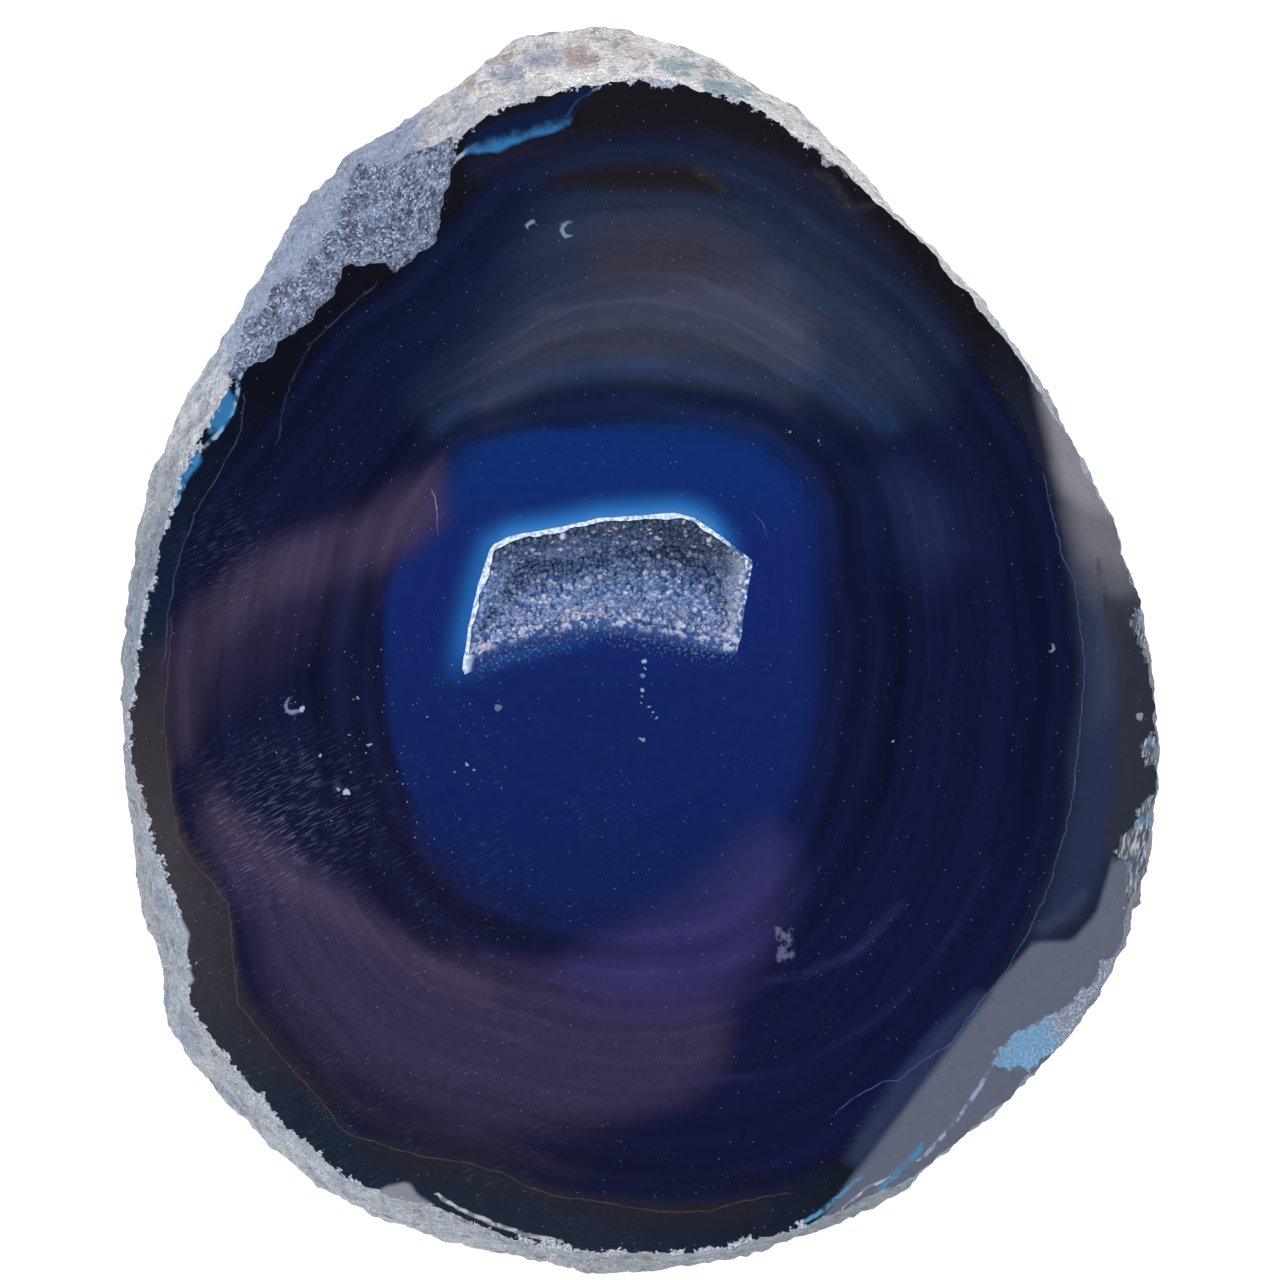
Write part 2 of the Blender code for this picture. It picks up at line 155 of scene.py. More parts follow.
# Bands of the agate: nested outlines round a middle inside the hollow, mm
BAND_CENTRE = (-2.5, 5.0)
CORE_OUTLINE = [
    (18.2, -5.5), (18.2, 6.5), (18.0, 13.5), (16.4, 16.9), (11.6, 20.7), (6.0, 22.0),
    (-5.2, 22.0), (-11.6, 21.5), (-18.0, 20.0), (-20.5, 16.5), (-24.0, 10.5), (-25.3, 4.5),
    (-25.5, -8.0), (-24.0, -14.0), (-21.0, -19.5), (-16.0, -24.0), (-8.0, -27.0), (1.0, -27.5),
    (9.0, -25.5), (14.0, -20.5), (17.0, -13.0),
]
LINE_OUTLINE = [
    (44.5, -2.0), (43.6, 7.0), (41.0, 16.5), (36.6, 25.0), (29.6, 34.6), (24.6, 39.4),
    (19.8, 43.6), (14.0, 47.6), (8.0, 50.8), (0.0, 51.7), (-8.0, 50.5), (-14.0, 48.0),
    (-20.0, 41.5), (-25.5, 36.0), (-30.0, 33.0), (-35.0, 26.0), (-40.0, 20.0), (-44.5, 14.5),
    (-46.5, 6.5), (-47.4, 0.0), (-47.7, -6.5), (-47.2, -13.5), (-46.0, -20.5), (-43.3, -23.5),
    (-40.9, -27.5), (-40.4, -35.0), (-35.1, -42.1), (-29.7, -48.7), (-22.2, -51.1),
    (-13.8, -52.7), (-8.0, -55.2), (2.0, -56.7), (6.2, -56.7), (14.5, -54.8), (20.0, -52.0),
    (26.0, -46.5), (32.0, -39.5), (37.0, -32.0), (41.0, -24.2), (43.3, -15.5), (43.6, -9.5),
]



def zone(outline, soft, colour, share, wobble=3.0):
    """A soft patch of colour inside a closed outline."""
    return {"outline": outline, "soft": soft, "colour": colour, "share": share, "wobble": wobble}


def stroke(path, half_width, soft, colour, share, wobble=0.8):
    """A soft band of colour along a path."""
    return {"path": path, "half_width": half_width, "soft": soft, "colour": colour,
            "share": share, "wobble": wobble}


# Soft colours of the face, painted in this order: places and sizes in mm. The haze zones at the top, the plum
# zones at the left and bottom and the grey zones on the right facets are painted reflections.
SOFT_COLOURS = {
    "navy_band": stroke([
        (-16.0, 47.5), (-12.0, 48.7), (-8.0, 49.5), (-4.0, 49.9), (0.0, 50.3), (4.0, 50.5),
        (7.0, 50.0), (10.0, 48.7), (14.0, 47.3), (18.0, 45.0), (21.0, 42.5), (24.0, 39.5),
        (27.0, 36.0), (29.5, 33.0), (31.5, 29.5),
    ], 1.0, 1.5, (32, 37, 64), 0.8),
    # painted reflection: a broad soft reflection on the polish
    "haze": zone([
        (-10.0, 44.5), (-4.0, 46.5), (4.0, 47.5), (12.0, 46.5), (18.0, 42.5), (24.0, 36.5),
        (29.0, 30.5), (29.0, 24.5), (23.0, 22.5), (16.0, 23.5), (8.0, 25.0), (-4.0, 26.0),
        (-12.0, 24.5), (-19.0, 22.5), (-20.5, 24.5), (-16.5, 29.5), (-12.5, 35.5),
    ], 4.5, (42, 53, 77), 0.88),
    # painted reflection: the middle of the haze
    "haze_middle": zone([
        (-4.0, 41.5), (4.0, 42.8), (11.0, 40.8), (12.0, 35.5), (0.0, 34.0), (-6.0, 35.5),
    ], 3.2, (60, 57, 71), 0.75),
    # painted reflection: the lower part of the haze
    "haze_low": zone([
        (-17.0, 24.5), (-14.0, 29.0), (-9.0, 33.3), (0.0, 35.8), (8.0, 37.2), (14.0, 36.6),
        (17.3, 32.5), (17.8, 28.0), (15.0, 24.8), (10.0, 26.2), (4.0, 27.8), (-4.0, 27.8),
        (-10.0, 26.0), (-15.0, 23.0),
    ], 2.6, (66, 70, 91), 0.88),
    # painted reflection: a line within the haze
    "haze_line": stroke([
        (-10.0, 33.3), (-4.0, 34.0), (2.0, 34.5), (6.0, 35.3), (10.0, 35.5), (14.0, 34.5),
        (17.0, 32.7), (20.0, 31.5),
    ], 0.3, 0.8, (78, 76, 94), 0.4),
    # painted reflection: a streak within the haze
    "haze_streak": stroke([(7.0, 35.3), (10.0, 34.3), (13.0, 32.8), (16.0, 31.2)],
                          0.3, 0.9, (92, 94, 112), 0.35),
    "brown_tongue": zone([
        (-10.5, 46.5), (-8.0, 47.3), (-4.0, 47.9), (1.0, 48.1), (5.0, 48.0), (7.0, 47.3),
        (8.5, 45.5), (9.3, 44.7), (7.5, 44.9), (5.0, 45.3), (1.0, 45.5), (-4.0, 45.7),
        (-8.0, 45.9),
    ], 0.9, (38, 32, 36), 0.85, 0.8),
    "tongue_tip": stroke([(5.5, 47.4), (7.2, 46.6), (8.4, 45.3)], 0.2, 0.7, (98, 82, 78), 0.4),
    "teal_edge": stroke([
        (-20.0, 22.5), (-17.0, 24.8), (-13.0, 26.5), (-8.0, 27.4), (-2.0, 27.9), (5.0, 27.8),
        (11.0, 27.4), (17.0, 26.5), (21.0, 24.7), (25.0, 22.0),
    ], 0.6, 1.9, (33, 60, 98), 0.7),
    "dark_ring": stroke([
        (-20.0, 17.5), (-17.0, 21.5), (-12.0, 23.5), (-6.0, 24.3), (0.0, 24.5), (6.0, 24.4),
        (12.0, 23.9), (18.0, 21.8), (22.0, 18.5), (24.0, 14.0), (24.5, 6.0),
    ], 0.8, 2.2, (13, 25, 62), 0.8),
    "right_pale": zone([
        (22.5, 17.0), (27.0, 18.0), (32.0, 15.0), (33.0, 9.5), (29.0, 6.0), (25.5, 9.5),
    ], 3.4, (37, 46, 86), 0.6),
    # painted reflection: a dim wash of the plum-coloured reflection on the polish
    "plum_wash": zone([
        (-20.5, 12.5), (-25.0, 8.5), (-29.0, 4.5), (-33.0, 0.5), (-37.0, -2.5), (-41.0, -5.5),
        (-45.5, -8.5), (-47.0, -3.0), (-44.0, 4.0), (-38.0, 8.5), (-30.0, 12.0), (-22.0, 16.0),
    ], 3.6, (45, 40, 66), 0.7, 1.6),
    # painted reflection: the arm-shaped plum reflection on the polish
    "plum_arm": zone([
        (-19.9, 18.0), (-23.1, 16.2), (-26.8, 13.7), (-31.0, 11.8), (-36.2, 10.1),
        (-40.4, 7.2), (-44.1, 4.3), (-46.2, 1.5), (-47.3, -2.2), (-47.2, -5.5), (-46.7, -8.0),
        (-45.7, -11.2), (-44.8, -9.0), (-44.2, -4.0), (-42.0, 0.0), (-37.5, 3.8),
        (-32.0, 6.3), (-27.0, 7.8), (-22.8, 9.8), (-19.8, 12.6),
    ], 1.9, (69, 58, 85), 0.86, 1.4),
    # painted reflection: the dimmer left part of the arm
    "arm_shade": stroke([(-39.0, 6.5), (-43.5, 2.0), (-45.8, -3.0), (-46.2, -9.0)],
                        1.0, 2.6, (47, 42, 57), 0.55, 1.0),
    "left_pale": stroke([(-29.4, 7.5), (-30.0, 2.5), (-30.2, -3.0), (-29.4, -6.5)],
                        0.6, 2.4, (36, 45, 88), 0.4, 1.5),
    # painted reflection: the lower lobe of the plum reflection
    "plum_lobe": zone([
        (-43.8, -12.7), (-42.0, -14.8), (-40.0, -17.7), (-37.0, -20.0), (-35.0, -21.7),
        (-31.5, -23.5), (-28.5, -24.9), (-25.8, -26.9), (-23.3, -28.7), (-21.0, -30.3),
        (-17.8, -31.0), (-13.2, -32.0), (-5.2, -33.4), (2.0, -33.6), (7.5, -35.0), (9.0, -38.0),
        (8.0, -42.0), (4.0, -45.0), (-2.0, -47.0), (-10.0, -48.5), (-17.0, -48.5),
        (-23.0, -46.0), (-30.0, -42.0), (-34.5, -37.0), (-37.5, -32.5), (-39.0, -28.0),
        (-41.5, -23.5), (-43.5, -18.5),
    ], 2.2, (58, 50, 80), 0.85, 2.0),
    # painted reflection: the brighter rim of the lobe
    "lobe_rim": stroke([
        (-42.3, -17.0), (-38.8, -20.8), (-35.0, -23.8), (-31.0, -26.0), (-26.5, -29.0),
        (-21.5, -32.3), (-16.0, -34.5),
    ], 0.9, 2.2, (84, 69, 91), 0.55, 1.5),
    # painted reflection: the dimmer lower part of the lobe
    "lobe_shade": stroke([
        (-35.5, -36.5), (-31.0, -42.0), (-24.0, -46.0), (-15.0, -48.0), (-5.0, -47.5),
    ], 1.5, 3.5, (46, 39, 58), 0.6, 2.0),
    "violet_lobe": zone([
        (-7.0, -32.5), (-2.0, -28.5), (4.0, -25.5), (9.0, -21.5), (12.4, -18.4), (14.4, -19.3),
        (14.9, -22.5), (13.8, -27.5), (12.0, -32.0), (9.0, -36.0), (1.0, -37.0), (-5.0, -36.0),
    ], 3.2, (57, 53, 106), 0.72),
    "brown_shade": stroke([
        (-27.0, -50.8), (-20.0, -52.3), (-12.0, -54.3), (-4.0, -56.3), (4.0, -57.3),
        (12.0, -56.0),
    ], 0.8, 1.4, (40, 36, 44), 0.6),
    "brown_margin": stroke([
        (-44.6, -20.5), (-42.6, -25.5), (-41.6, -31.0), (-39.6, -36.0), (-36.3, -40.6),
        (-31.5, -45.0), (-24.5, -48.3), (-17.5, -50.0), (-11.5, -51.6), (-6.0, -52.6),
    ], 0.5, 1.8, (44, 38, 48), 0.75, 1.0),
    "low_dark": stroke([
        (-8.0, -51.5), (0.0, -52.7), (6.0, -53.0), (12.0, -53.5), (18.0, -52.5), (23.0, -49.5),
        (26.0, -46.5),
    ], 0.4, 1.4, (19, 20, 37), 0.75, 1.0),
    "smudges": stroke([(17.5, 47.2), (19.0, 46.6), (21.0, 43.6), (23.3, 43.9)],
                      0.15, 0.5, (80, 74, 82), 0.35, 1.6),
    "low_band": stroke([
        (-8.0, -44.0), (-4.0, -44.2), (0.0, -44.0), (6.0, -43.5), (10.3, -43.3), (15.0, -42.5),
        (19.0, -40.3), (23.0, -38.0), (26.0, -35.5), (29.0, -32.0), (32.0, -27.5), (35.0, -21.5),
    ], 0.1, 0.7, (48, 54, 102), 0.45),
    "mid_band": stroke([
        (-16.0, -31.0), (-8.0, -33.6), (0.0, -35.3), (6.0, -35.0), (12.0, -33.8),
        (17.0, -32.8), (22.0, -30.5), (26.0, -26.0),
    ], 0.1, 0.8, (66, 64, 122), 0.4),
    "facet_blue": zone([
        (43.8, 9.5), (46.0, 9.0), (48.0, 4.0), (49.0, -4.0), (49.0, -14.0), (47.5, -21.0),
        (45.0, -27.0), (41.5, -29.5), (39.5, -30.0), (42.5, -22.0), (44.2, -12.0), (44.8, -2.0),
    ], 1.0, (43, 54, 85), 0.9, 0.4),
    # painted reflection on the rolled facets: grey fading out below the lens
    "facet_fade": zone([
        (43.2, 13.0), (43.9, 8.5), (45.3, 5.0), (48.5, 2.5), (53.0, 1.0), (53.0, 14.0), (47.0, 15.5),
    ], 2.2, (98, 99, 111), 0.95, 0.4),
    # painted reflection on the rolled facets: grey between the fade and the lens
    "facet_mid": zone([
        (42.0, 17.5), (43.3, 12.0), (44.6, 9.0), (48.0, 7.6), (53.0, 7.0), (52.0, 16.0), (48.0, 19.0),
    ], 1.8, (122, 120, 131), 0.9, 0.3),
    # painted reflection: a bright lens of reflected light on the upper facets
    "facet_lens": zone([
        (39.8, 26.8), (40.2, 24.0), (41.6, 17.8), (42.6, 15.2), (44.8, 13.6), (48.0, 13.0),
        (52.0, 13.0), (50.0, 18.0), (46.0, 24.0), (42.0, 28.8),
    ], 1.2, (147, 144, 154), 1.0, 0.3),
    "facet_teal": zone([
        (45.6, 6.0), (47.8, 4.0), (48.4, -1.0), (47.6, -6.0), (45.6, -8.0), (45.2, -1.0),
    ], 1.8, (64, 72, 95), 0.7, 0.4),
    "facet_outer": zone([
        (46.8, 4.5), (48.2, -1.5), (48.3, -8.5), (48.0, -15.0), (47.0, -19.0), (47.0, -22.0),
        (52.0, -22.0), (54.0, -10.0), (54.0, 2.0), (50.0, 5.0),
    ], 1.1, (50, 54, 67), 0.85, 1.2),
    "facet_dark": stroke([(41.5, -29.0), (44.5, -28.0), (46.3, -25.0), (47.0, -21.5)],
                         0.3, 1.0, (32, 39, 60), 0.8, 0.2),
    # painted glint on the lower facet
    "facet_glint": stroke([(40.0, -28.4), (43.0, -27.0), (44.5, -25.0)],
                          0.3, 0.8, (74, 82, 106), 0.6, 0.2),
    # painted reflection: the grey sheet of reflected light on the lower facet
    "facet_grey": zone([
        (47.6, -21.5), (53.0, -22.0), (54.0, -30.0), (48.0, -40.0), (38.0, -50.0), (28.0, -58.0),
        (16.0, -62.0), (18.0, -57.5), (27.0, -45.5), (36.0, -33.5), (39.5, -29.8),
        (43.5, -29.8), (46.0, -27.0),
    ], 0.4, (108, 114, 133), 0.95, 0.1),
    "edge_grey": zone([
        (22.0, -52.3), (26.5, -46.2), (31.0, -40.2), (35.0, -35.0), (33.6, -34.6),
        (29.5, -38.6), (25.5, -43.5), (22.0, -48.5), (20.5, -51.5),
    ], 0.9, (52, 62, 96), 0.75, 0.3),
    "brown_line": stroke([
        (46.0, 8.5), (46.3, 6.8), (47.0, 2.8), (48.3, -1.8), (48.3, -8.5), (48.0, -15.2),
        (47.0, -19.2),
    ], 0.15, 0.4, (58, 49, 53), 0.85, 0.3),
    "left_chip": zone([
        (-47.6, -26.8), (-46.0, -27.3), (-45.2, -29.0), (-45.7, -31.2), (-44.6, -33.6),
        (-46.0, -34.4), (-47.8, -32.0),
    ], 0.25, (168, 180, 196), 0.9, 1.4),
    "low_chip": zone([
        (-26.8, -55.2), (-25.0, -54.5), (-23.4, -54.3), (-22.6, -55.4), (-20.8, -56.4),
        (-20.5, -59.0), (-26.5, -58.0),
    ], 0.3, (148, 148, 162), 0.85, 1.8),
}

# Thin lines of the face, in two layers that keep lines near each other apart:
# path in mm, half width in mm, colour, share, and how broken up the line is
THIN_LINES = [
    [
        ([(-46.8, 2.5), (-47.3, -3.0), (-47.6, -7.5), (-47.1, -13.5), (-46.2, -19.5),
          (-44.5, -22.0), (-42.8, -23.8), (-41.2, -26.0), (-40.8, -30.0), (-40.5, -33.2),
          (-40.3, -35.7), (-38.0, -38.6), (-35.1, -42.1), (-31.8, -45.7), (-29.7, -48.7),
          (-26.3, -49.8), (-22.2, -51.1), (-18.0, -51.7), (-13.8, -52.7), (-11.3, -54.2),
          (-8.0, -55.2), (-3.8, -55.7), (2.0, -56.7), (6.2, -56.7), (10.3, -55.7),
          (14.5, -54.8)], 0.11, (100, 78, 76), 0.42, 0.3),
        ([(40.5, 16.5), (42.3, 8.5), (43.5, 6.5), (44.3, 0.0), (44.5, -2.0), (43.9, -9.5),
          (43.3, -15.5), (42.0, -20.5), (41.0, -24.2), (40.0, -26.2), (38.6, -29.2),
          (36.7, -32.5), (35.5, -34.2), (34.0, -35.7), (32.2, -38.2), (31.2, -39.9),
          (28.5, -41.4), (26.0, -43.5), (24.5, -43.7), (23.2, -44.1), (21.0, -45.6),
          (19.7, -46.7)], 0.09, (76, 104, 156), 0.6, 0.3),
        ([(-26.5, 36.0), (-30.0, 33.0), (-33.0, 30.0), (-35.0, 26.0), (-35.7, 23.5),
          (-36.2, 20.5)], 0.14, (60, 66, 98), 0.5, 0.5),
        ([(-4.0, 55.8), (-6.5, 54.3), (-7.8, 52.2), (-9.0, 51.6)],
         0.2, (150, 182, 216), 0.8, 0.5),
        ([(-18.3, 48.6), (-16.5, 50.1)], 0.25, (170, 192, 220), 0.85, 0.4),
        ([(-40.0, 27.5), (-40.3, 24.8), (-41.0, 23.0), (-42.6, 20.7), (-43.6, 19.8),
          (-45.3, 16.8), (-46.8, 13.5)], 0.3, (150, 190, 224), 0.85, 0.9),
        ([(36.5, -41.5), (35.5, -42.4), (34.4, -43.9), (33.4, -45.6), (32.5, -47.0),
          (31.2, -48.5), (29.7, -50.2), (28.4, -51.6)], 0.3, (166, 188, 218), 0.85, 0.9),
        ([(25.0, -53.4), (22.5, -54.6), (20.6, -56.2)], 0.18, (206, 214, 232), 0.8, 0.7),
        ([(-20.6, 15.0), (-20.3, 13.5), (-20.2, 11.5)], 0.07, (160, 168, 200), 0.5, 0.6),
        ([(11.6, 13.0), (12.2, 12.3), (12.6, 11.3)], 0.07, (120, 136, 180), 0.3, 0.5),
    ],
    [
        ([(-39.5, 24.5), (-40.0, 21.0), (-42.5, 16.5), (-44.5, 13.0), (-46.2, 8.5),
          (-47.2, 3.0), (-47.5, -1.5)], 0.1, (74, 94, 136), 0.5, 0.4),
        ([(28.2, -50.5), (27.2, -51.6), (25.4, -53.3), (24.2, -54.4)],
         0.45, (84, 146, 196), 0.9, 0.7),
        ([(21.9, -53.4), (20.2, -54.8), (18.2, -56.6), (16.4, -57.6)],
         0.3, (96, 154, 204), 0.85, 0.8),
        ([(-19.9, -55.2), (-18.8, -56.0), (-16.3, -57.2), (-14.7, -57.9), (-12.2, -58.7),
          (-10.5, -59.2), (-8.0, -59.7)], 0.3, (190, 194, 206), 0.9, 0.6),
    ],
]

# Values that the mesh of the face carries, three by three
STORED = ["ring", "core", "halo", "edge", "flake", "chip", "line_reach", "line_0", "line_0_half_width",
          "line_0_broken", "line_1", "line_1_half_width", "line_1_broken", *SOFT_COLOURS]

# Translucent blue flakes at the edge of the face
FLAKES = [
    [(-17.6, 49.2), (-17.0, 51.0), (-14.0, 52.6), (-10.0, 53.6), (-7.6, 54.8), (-5.2, 56.0),
     (-4.2, 55.8), (-5.4, 54.4), (-6.6, 53.3), (-7.4, 52.0), (-9.0, 51.3), (-12.0, 50.4),
     (-14.5, 49.4), (-16.5, 49.2)],
    [(-42.8, 26.2), (-41.2, 25.8), (-40.5, 23.6), (-41.6, 21.9), (-43.2, 21.0), (-42.9, 23.0),
     (-43.5, 24.6)],
    [(-44.3, 19.8), (-43.9, 18.6), (-45.4, 16.4), (-46.7, 13.7), (-47.2, 13.9), (-46.0, 17.2)],
]

# Broken chips along the right edge: outline in mm, and depth in mm
CHIPS = [
    ([(46.6, -32.0), (46.0, -34.0), (44.0, -36.0), (41.5, -37.4), (39.4, -38.4), (37.6, -39.6),
      (36.0, -41.4), (36.0, -42.8), (39.0, -42.8), (43.0, -40.6), (47.0, -37.5), (49.5, -33.0),
      (49.0, -30.5)], 0.5),
    ([(51.8, -15.0), (50.4, -16.7), (49.6, -18.1), (48.6, -19.4), (47.8, -21.2), (49.0, -21.7),
      (49.6, -24.0), (49.2, -27.5), (50.6, -28.0), (53.0, -20.0), (53.5, -15.0)], 0.5),
    ([(49.2, 3.4), (50.4, 3.6), (52.5, 3.0), (52.5, 1.0), (53.0, -1.5), (51.2, -1.4), (50.2, 0.4)],
     0.4),
    ([(50.4, -9.0), (51.4, -8.8), (53.5, -9.5), (53.0, -13.0), (51.4, -12.0), (50.7, -10.6)], 0.3),
]
CHIP_RAGGED = [(1.8, 0.6), (0.8, 0.45)]

# Small flaws: place in mm, radius in mm, and brightness
DOTS = [
    (0.5, -1.5, 0.26, 0.7), (0.5, -2.2, 0.15, 0.6), (0.2, -3.1, 0.28, 0.3), (0.3, -4.4, 0.18, 0.6),
    (0.2, -5.0, 0.16, 0.4), (0.2, -5.8, 0.13, 0.6), (1.0, -6.0, 0.14, 0.5), (1.3, -6.7, 0.16, 0.6),
    (1.6, -7.3, 0.16, 0.5), (0.2, -9.6, 0.28, 0.4), (-15.4, -1.2, 0.3, 0.6), (-14.2, -6.3, 0.5, 0.25),
    (-29.4, -14.8, 0.45, 0.85), (-30.2, -14.4, 0.25, 0.5), (-27.0, -10.0, 0.24, 0.55),
    (-32.0, -11.0, 0.26, 0.6), (-28.2, -5.4, 0.18, 0.5), (-33.9, -6.4, 0.4, 0.8),
    (-17.4, -11.8, 0.22, 0.5), (-16.6, -12.4, 0.18, 0.4), (-18.6, -12.6, 0.16, 0.4),
    (15.0, 21.3, 0.2, 0.4), (25.3, -9.5, 0.18, 0.5), (17.9, 20.4, 0.14, 0.4),
    (49.6, -30.6, 0.5, 0.5), (50.3, -7.2, 0.4, 0.5),
]
# Crescents: place in mm, radius in mm, and where the dark of it lies from its middle, mm
CRESCENTS = [
    (-34.7, -6.1, 0.9, 0.25, 0.3), (-7.2, 41.5, 0.85, 0.42, 0.1), (-11.0, 42.0, 0.5, 0.2, -0.28),
    (41.2, -0.3, 0.45, -0.25, 0.1),
]
PALE_MARK = (14.5, -30.0, 1.0, 1.9)  # mm: middle and half sizes of a rubbed mark

# Crystals
CRYSTAL_COUNT = 4200 if FINE else 1500
CRYSTAL_SPACING = 0.26 * MM
CRYSTAL_RADIUS = (0.17, 0.4)
CRYSTAL_LENGTH = (0.15, 0.5)
CRYSTAL_TIP = 0.6            # height of the point, of the radius
CRYSTAL_LEAN = 0.6           # how far a crystal leans off the wall that it stands on
CRYSTAL_SEED = 11

# Mesh spacing, mm
FACE_SPACING = 0.75 if FINE else 1.6
PATCH_SPACING = 0.34 if FINE else 0.8
HOLLOW_SPACING = 0.5 if FINE else 0.9
NODULE_SUBDIVISIONS = 7 if FINE else 6

SEED_STEP = 37.1             # how far apart two seeds of a noise lie

# Camera and light
CAMERA_HEIGHT = 0.6          # above the polished face
FRAME_WIDTH = 0.128          # of the photographed square at the face
SENSOR = 36.0
FRAME_MIDDLE = (0.0, 0.75)   # mm
WORLD_LIGHT = (0.02, 0.02, 0.022, 1)
PANEL_COLOUR = (0.98, 0.99, 1.0)
FLOOR_GLOW = 0.35            # keeps the pale floor white beside the stone
FACE_DIMMING = 0.83          # the light of the panels is this much stronger than colours are given for
# Panels of light, a metre away: name, azimuth and elevation in degrees, size in m, power in W
PANELS = [
    ("north_panel", 90, 52, (1.2, 0.6), 5.8),
    ("west_panel", 180, 52, (1.2, 0.6), 4.6),
    ("south_panel", -90, 52, (1.2, 0.6), 4.9),
    ("east_panel", 0, 60, (1.0, 0.3), 3.5),
]


# Outlines and distances on the face

def on_stone(x, y):
    """Bring a point of the face, in mm, to the stone's own frame."""
    return (x + CENTRING[0]) * MM, (y + CENTRING[1]) * MM


def outline_radii(outline, centre, spread=1.0):
    """Radius of a closed outline for each degree round a centre, with rounded corners."""
    points = np.array(outline) - np.array(centre)
    angles = np.arctan2(points[:, 1], points[:, 0])
    radii = np.hypot(points[:, 0], points[:, 1]) * spread * MM
    degrees = np.radians(np.arange(360))
    sampled = np.interp(degrees, angles, radii, period=2 * math.pi)
    window = np.hanning(ROUNDING + 2)
    window /= window.sum()
    smooth = np.convolve(np.tile(sampled, 3), window, "same")[360:720]
    return np.append(smooth, smooth[0])


def radius_at(radii, angle):
    """Radius between two whole degrees, for one angle or many."""
    return np.interp(np.degrees(angle) % 360, np.arange(361), radii)


def path_distance(x, y, path):
    """Distance in mm from points of the face to a path."""
    nearest = np.full(np.shape(x), 1e9)
    for (x0, y0), (x1, y1) in zip(path[:-1], path[1:]):
        run_x, run_y = x1 - x0, y1 - y0
        along = ((x - x0) * run_x + (y - y0) * run_y) / (run_x ** 2 + run_y ** 2)
        along = np.clip(along, 0, 1)
        nearest = np.minimum(nearest, np.hypot(x - x0 - along * run_x, y - y0 - along * run_y))
    return nearest


def line_offset(x, y, path):
    """Signed distance in mm to a thin line, and a large value away from it."""
    nearest = np.full(np.shape(x), FAR_AWAY)
    offset = np.full(np.shape(x), FAR_AWAY)
    for (x0, y0), (x1, y1) in zip(path[:-1], path[1:]):
        run_x, run_y = x1 - x0, y1 - y0
        along = ((x - x0) * run_x + (y - y0) * run_y) / (run_x ** 2 + run_y ** 2)
        along = np.clip(along, 0, 1)
        off_x, off_y = x - x0 - along * run_x, y - y0 - along * run_y
        reach = np.hypot(off_x, off_y)
        side = np.where(run_x * off_y - run_y * off_x < 0, -1, 1)
        closer = reach < nearest
        nearest = np.where(closer, reach, nearest)
        offset = np.where(closer, side * reach, offset)
    return np.where(nearest < LINE_REACH, offset, np.sign(offset) * FAR_AWAY)


def depth_inside(x, y, outline):
    """How far points lie inside a closed outline, in mm, and less than 0 outside it."""
    inside = np.zeros(np.shape(x), bool)
    closed = outline + outline[:1]
    for (x0, y0), (x1, y1) in zip(closed[:-1], closed[1:]):
        crosses = (y0 > y) != (y1 > y)
        reach = (x1 - x0) * (y - y0) / (y1 - y0 if y1 != y0 else 1e-9) + x0
        inside ^= crosses & (x < reach)
    return np.where(inside, 1, -1) * path_distance(x, y, closed)


def roughness_of(x, y, lumps):
    """Sum of noise of several sizes at points of the face, in mm."""
    total = np.zeros(np.shape(x))
    for index, (one_x, one_y) in enumerate(zip(x, y)):
        total[index] = sum(
            noise.noise(Vector((one_x / size, one_y / size, size))) * height
            for size, height in lumps)
    return total


# Solids

def new_piece(name, bm):
    """An object made from a bmesh, linked to the scene."""
    mesh = bpy.data.meshes.new(name)
    bm.to_mesh(mesh)
    bm.free()
    piece = bpy.data.objects.new(name, mesh)
    bpy.context.scene.collection.objects.link(piece)
    return piece


def height_block(name, low, high, spacing, heights, creases=()):
    """A block over a rectangle of the face, from a shaped floor up to above the face."""
    bm = bmesh.new()
    size_x, size_y = high[0] - low[0], high[1] - low[1]
    bmesh.ops.create_grid(
        bm, x_segments=round(size_x / spacing), y_segments=round(size_y / spacing), size=0.5)
    bmesh.ops.scale(bm, verts=bm.verts, vec=(size_x * MM, size_y * MM, 1))
    middle_x, middle_y = on_stone((low[0] + high[0]) / 2, (low[1] + high[1]) / 2)
    bmesh.ops.translate(bm, verts=bm.verts, vec=(middle_x, middle_y, 0))
    for point, across in creases:
        everything = bm.verts[:] + bm.edges[:] + bm.faces[:]
        bmesh.ops.bisect_plane(bm, geom=everything, dist=1e-6, plane_co=point, plane_no=across)
    x = np.array([corner.co.x for corner in bm.verts]) / MM - CENTRING[0]
    y = np.array([corner.co.y for corner in bm.verts]) / MM - CENTRING[1]
    for corner, height in zip(bm.verts, heights(x, y)):
        corner.co.z = height
    grown = bmesh.ops.extrude_face_region(bm, geom=bm.faces[:])
    for item in grown["geom"]:
        if isinstance(item, bmesh.types.BMVert):
            item.co.z = THICKNESS + LID
    bmesh.ops.recalc_face_normals(bm, faces=bm.faces)
    return new_piece(name, bm)


def saw_off(bm, point, normal):
    """Saw a solid along a plane and close the cut. Gives the faces of the cut."""
    everything = bm.verts[:] + bm.edges[:] + bm.faces[:]
    cut = bmesh.ops.bisect_plane(
        bm, geom=everything, dist=1e-6, plane_co=point, plane_no=normal, clear_outer=True)
    edges = [item for item in cut["geom_cut"] if isinstance(item, bmesh.types.BMEdge)]
    return bmesh.ops.edgeloop_fill(bm, edges=edges)["faces"]


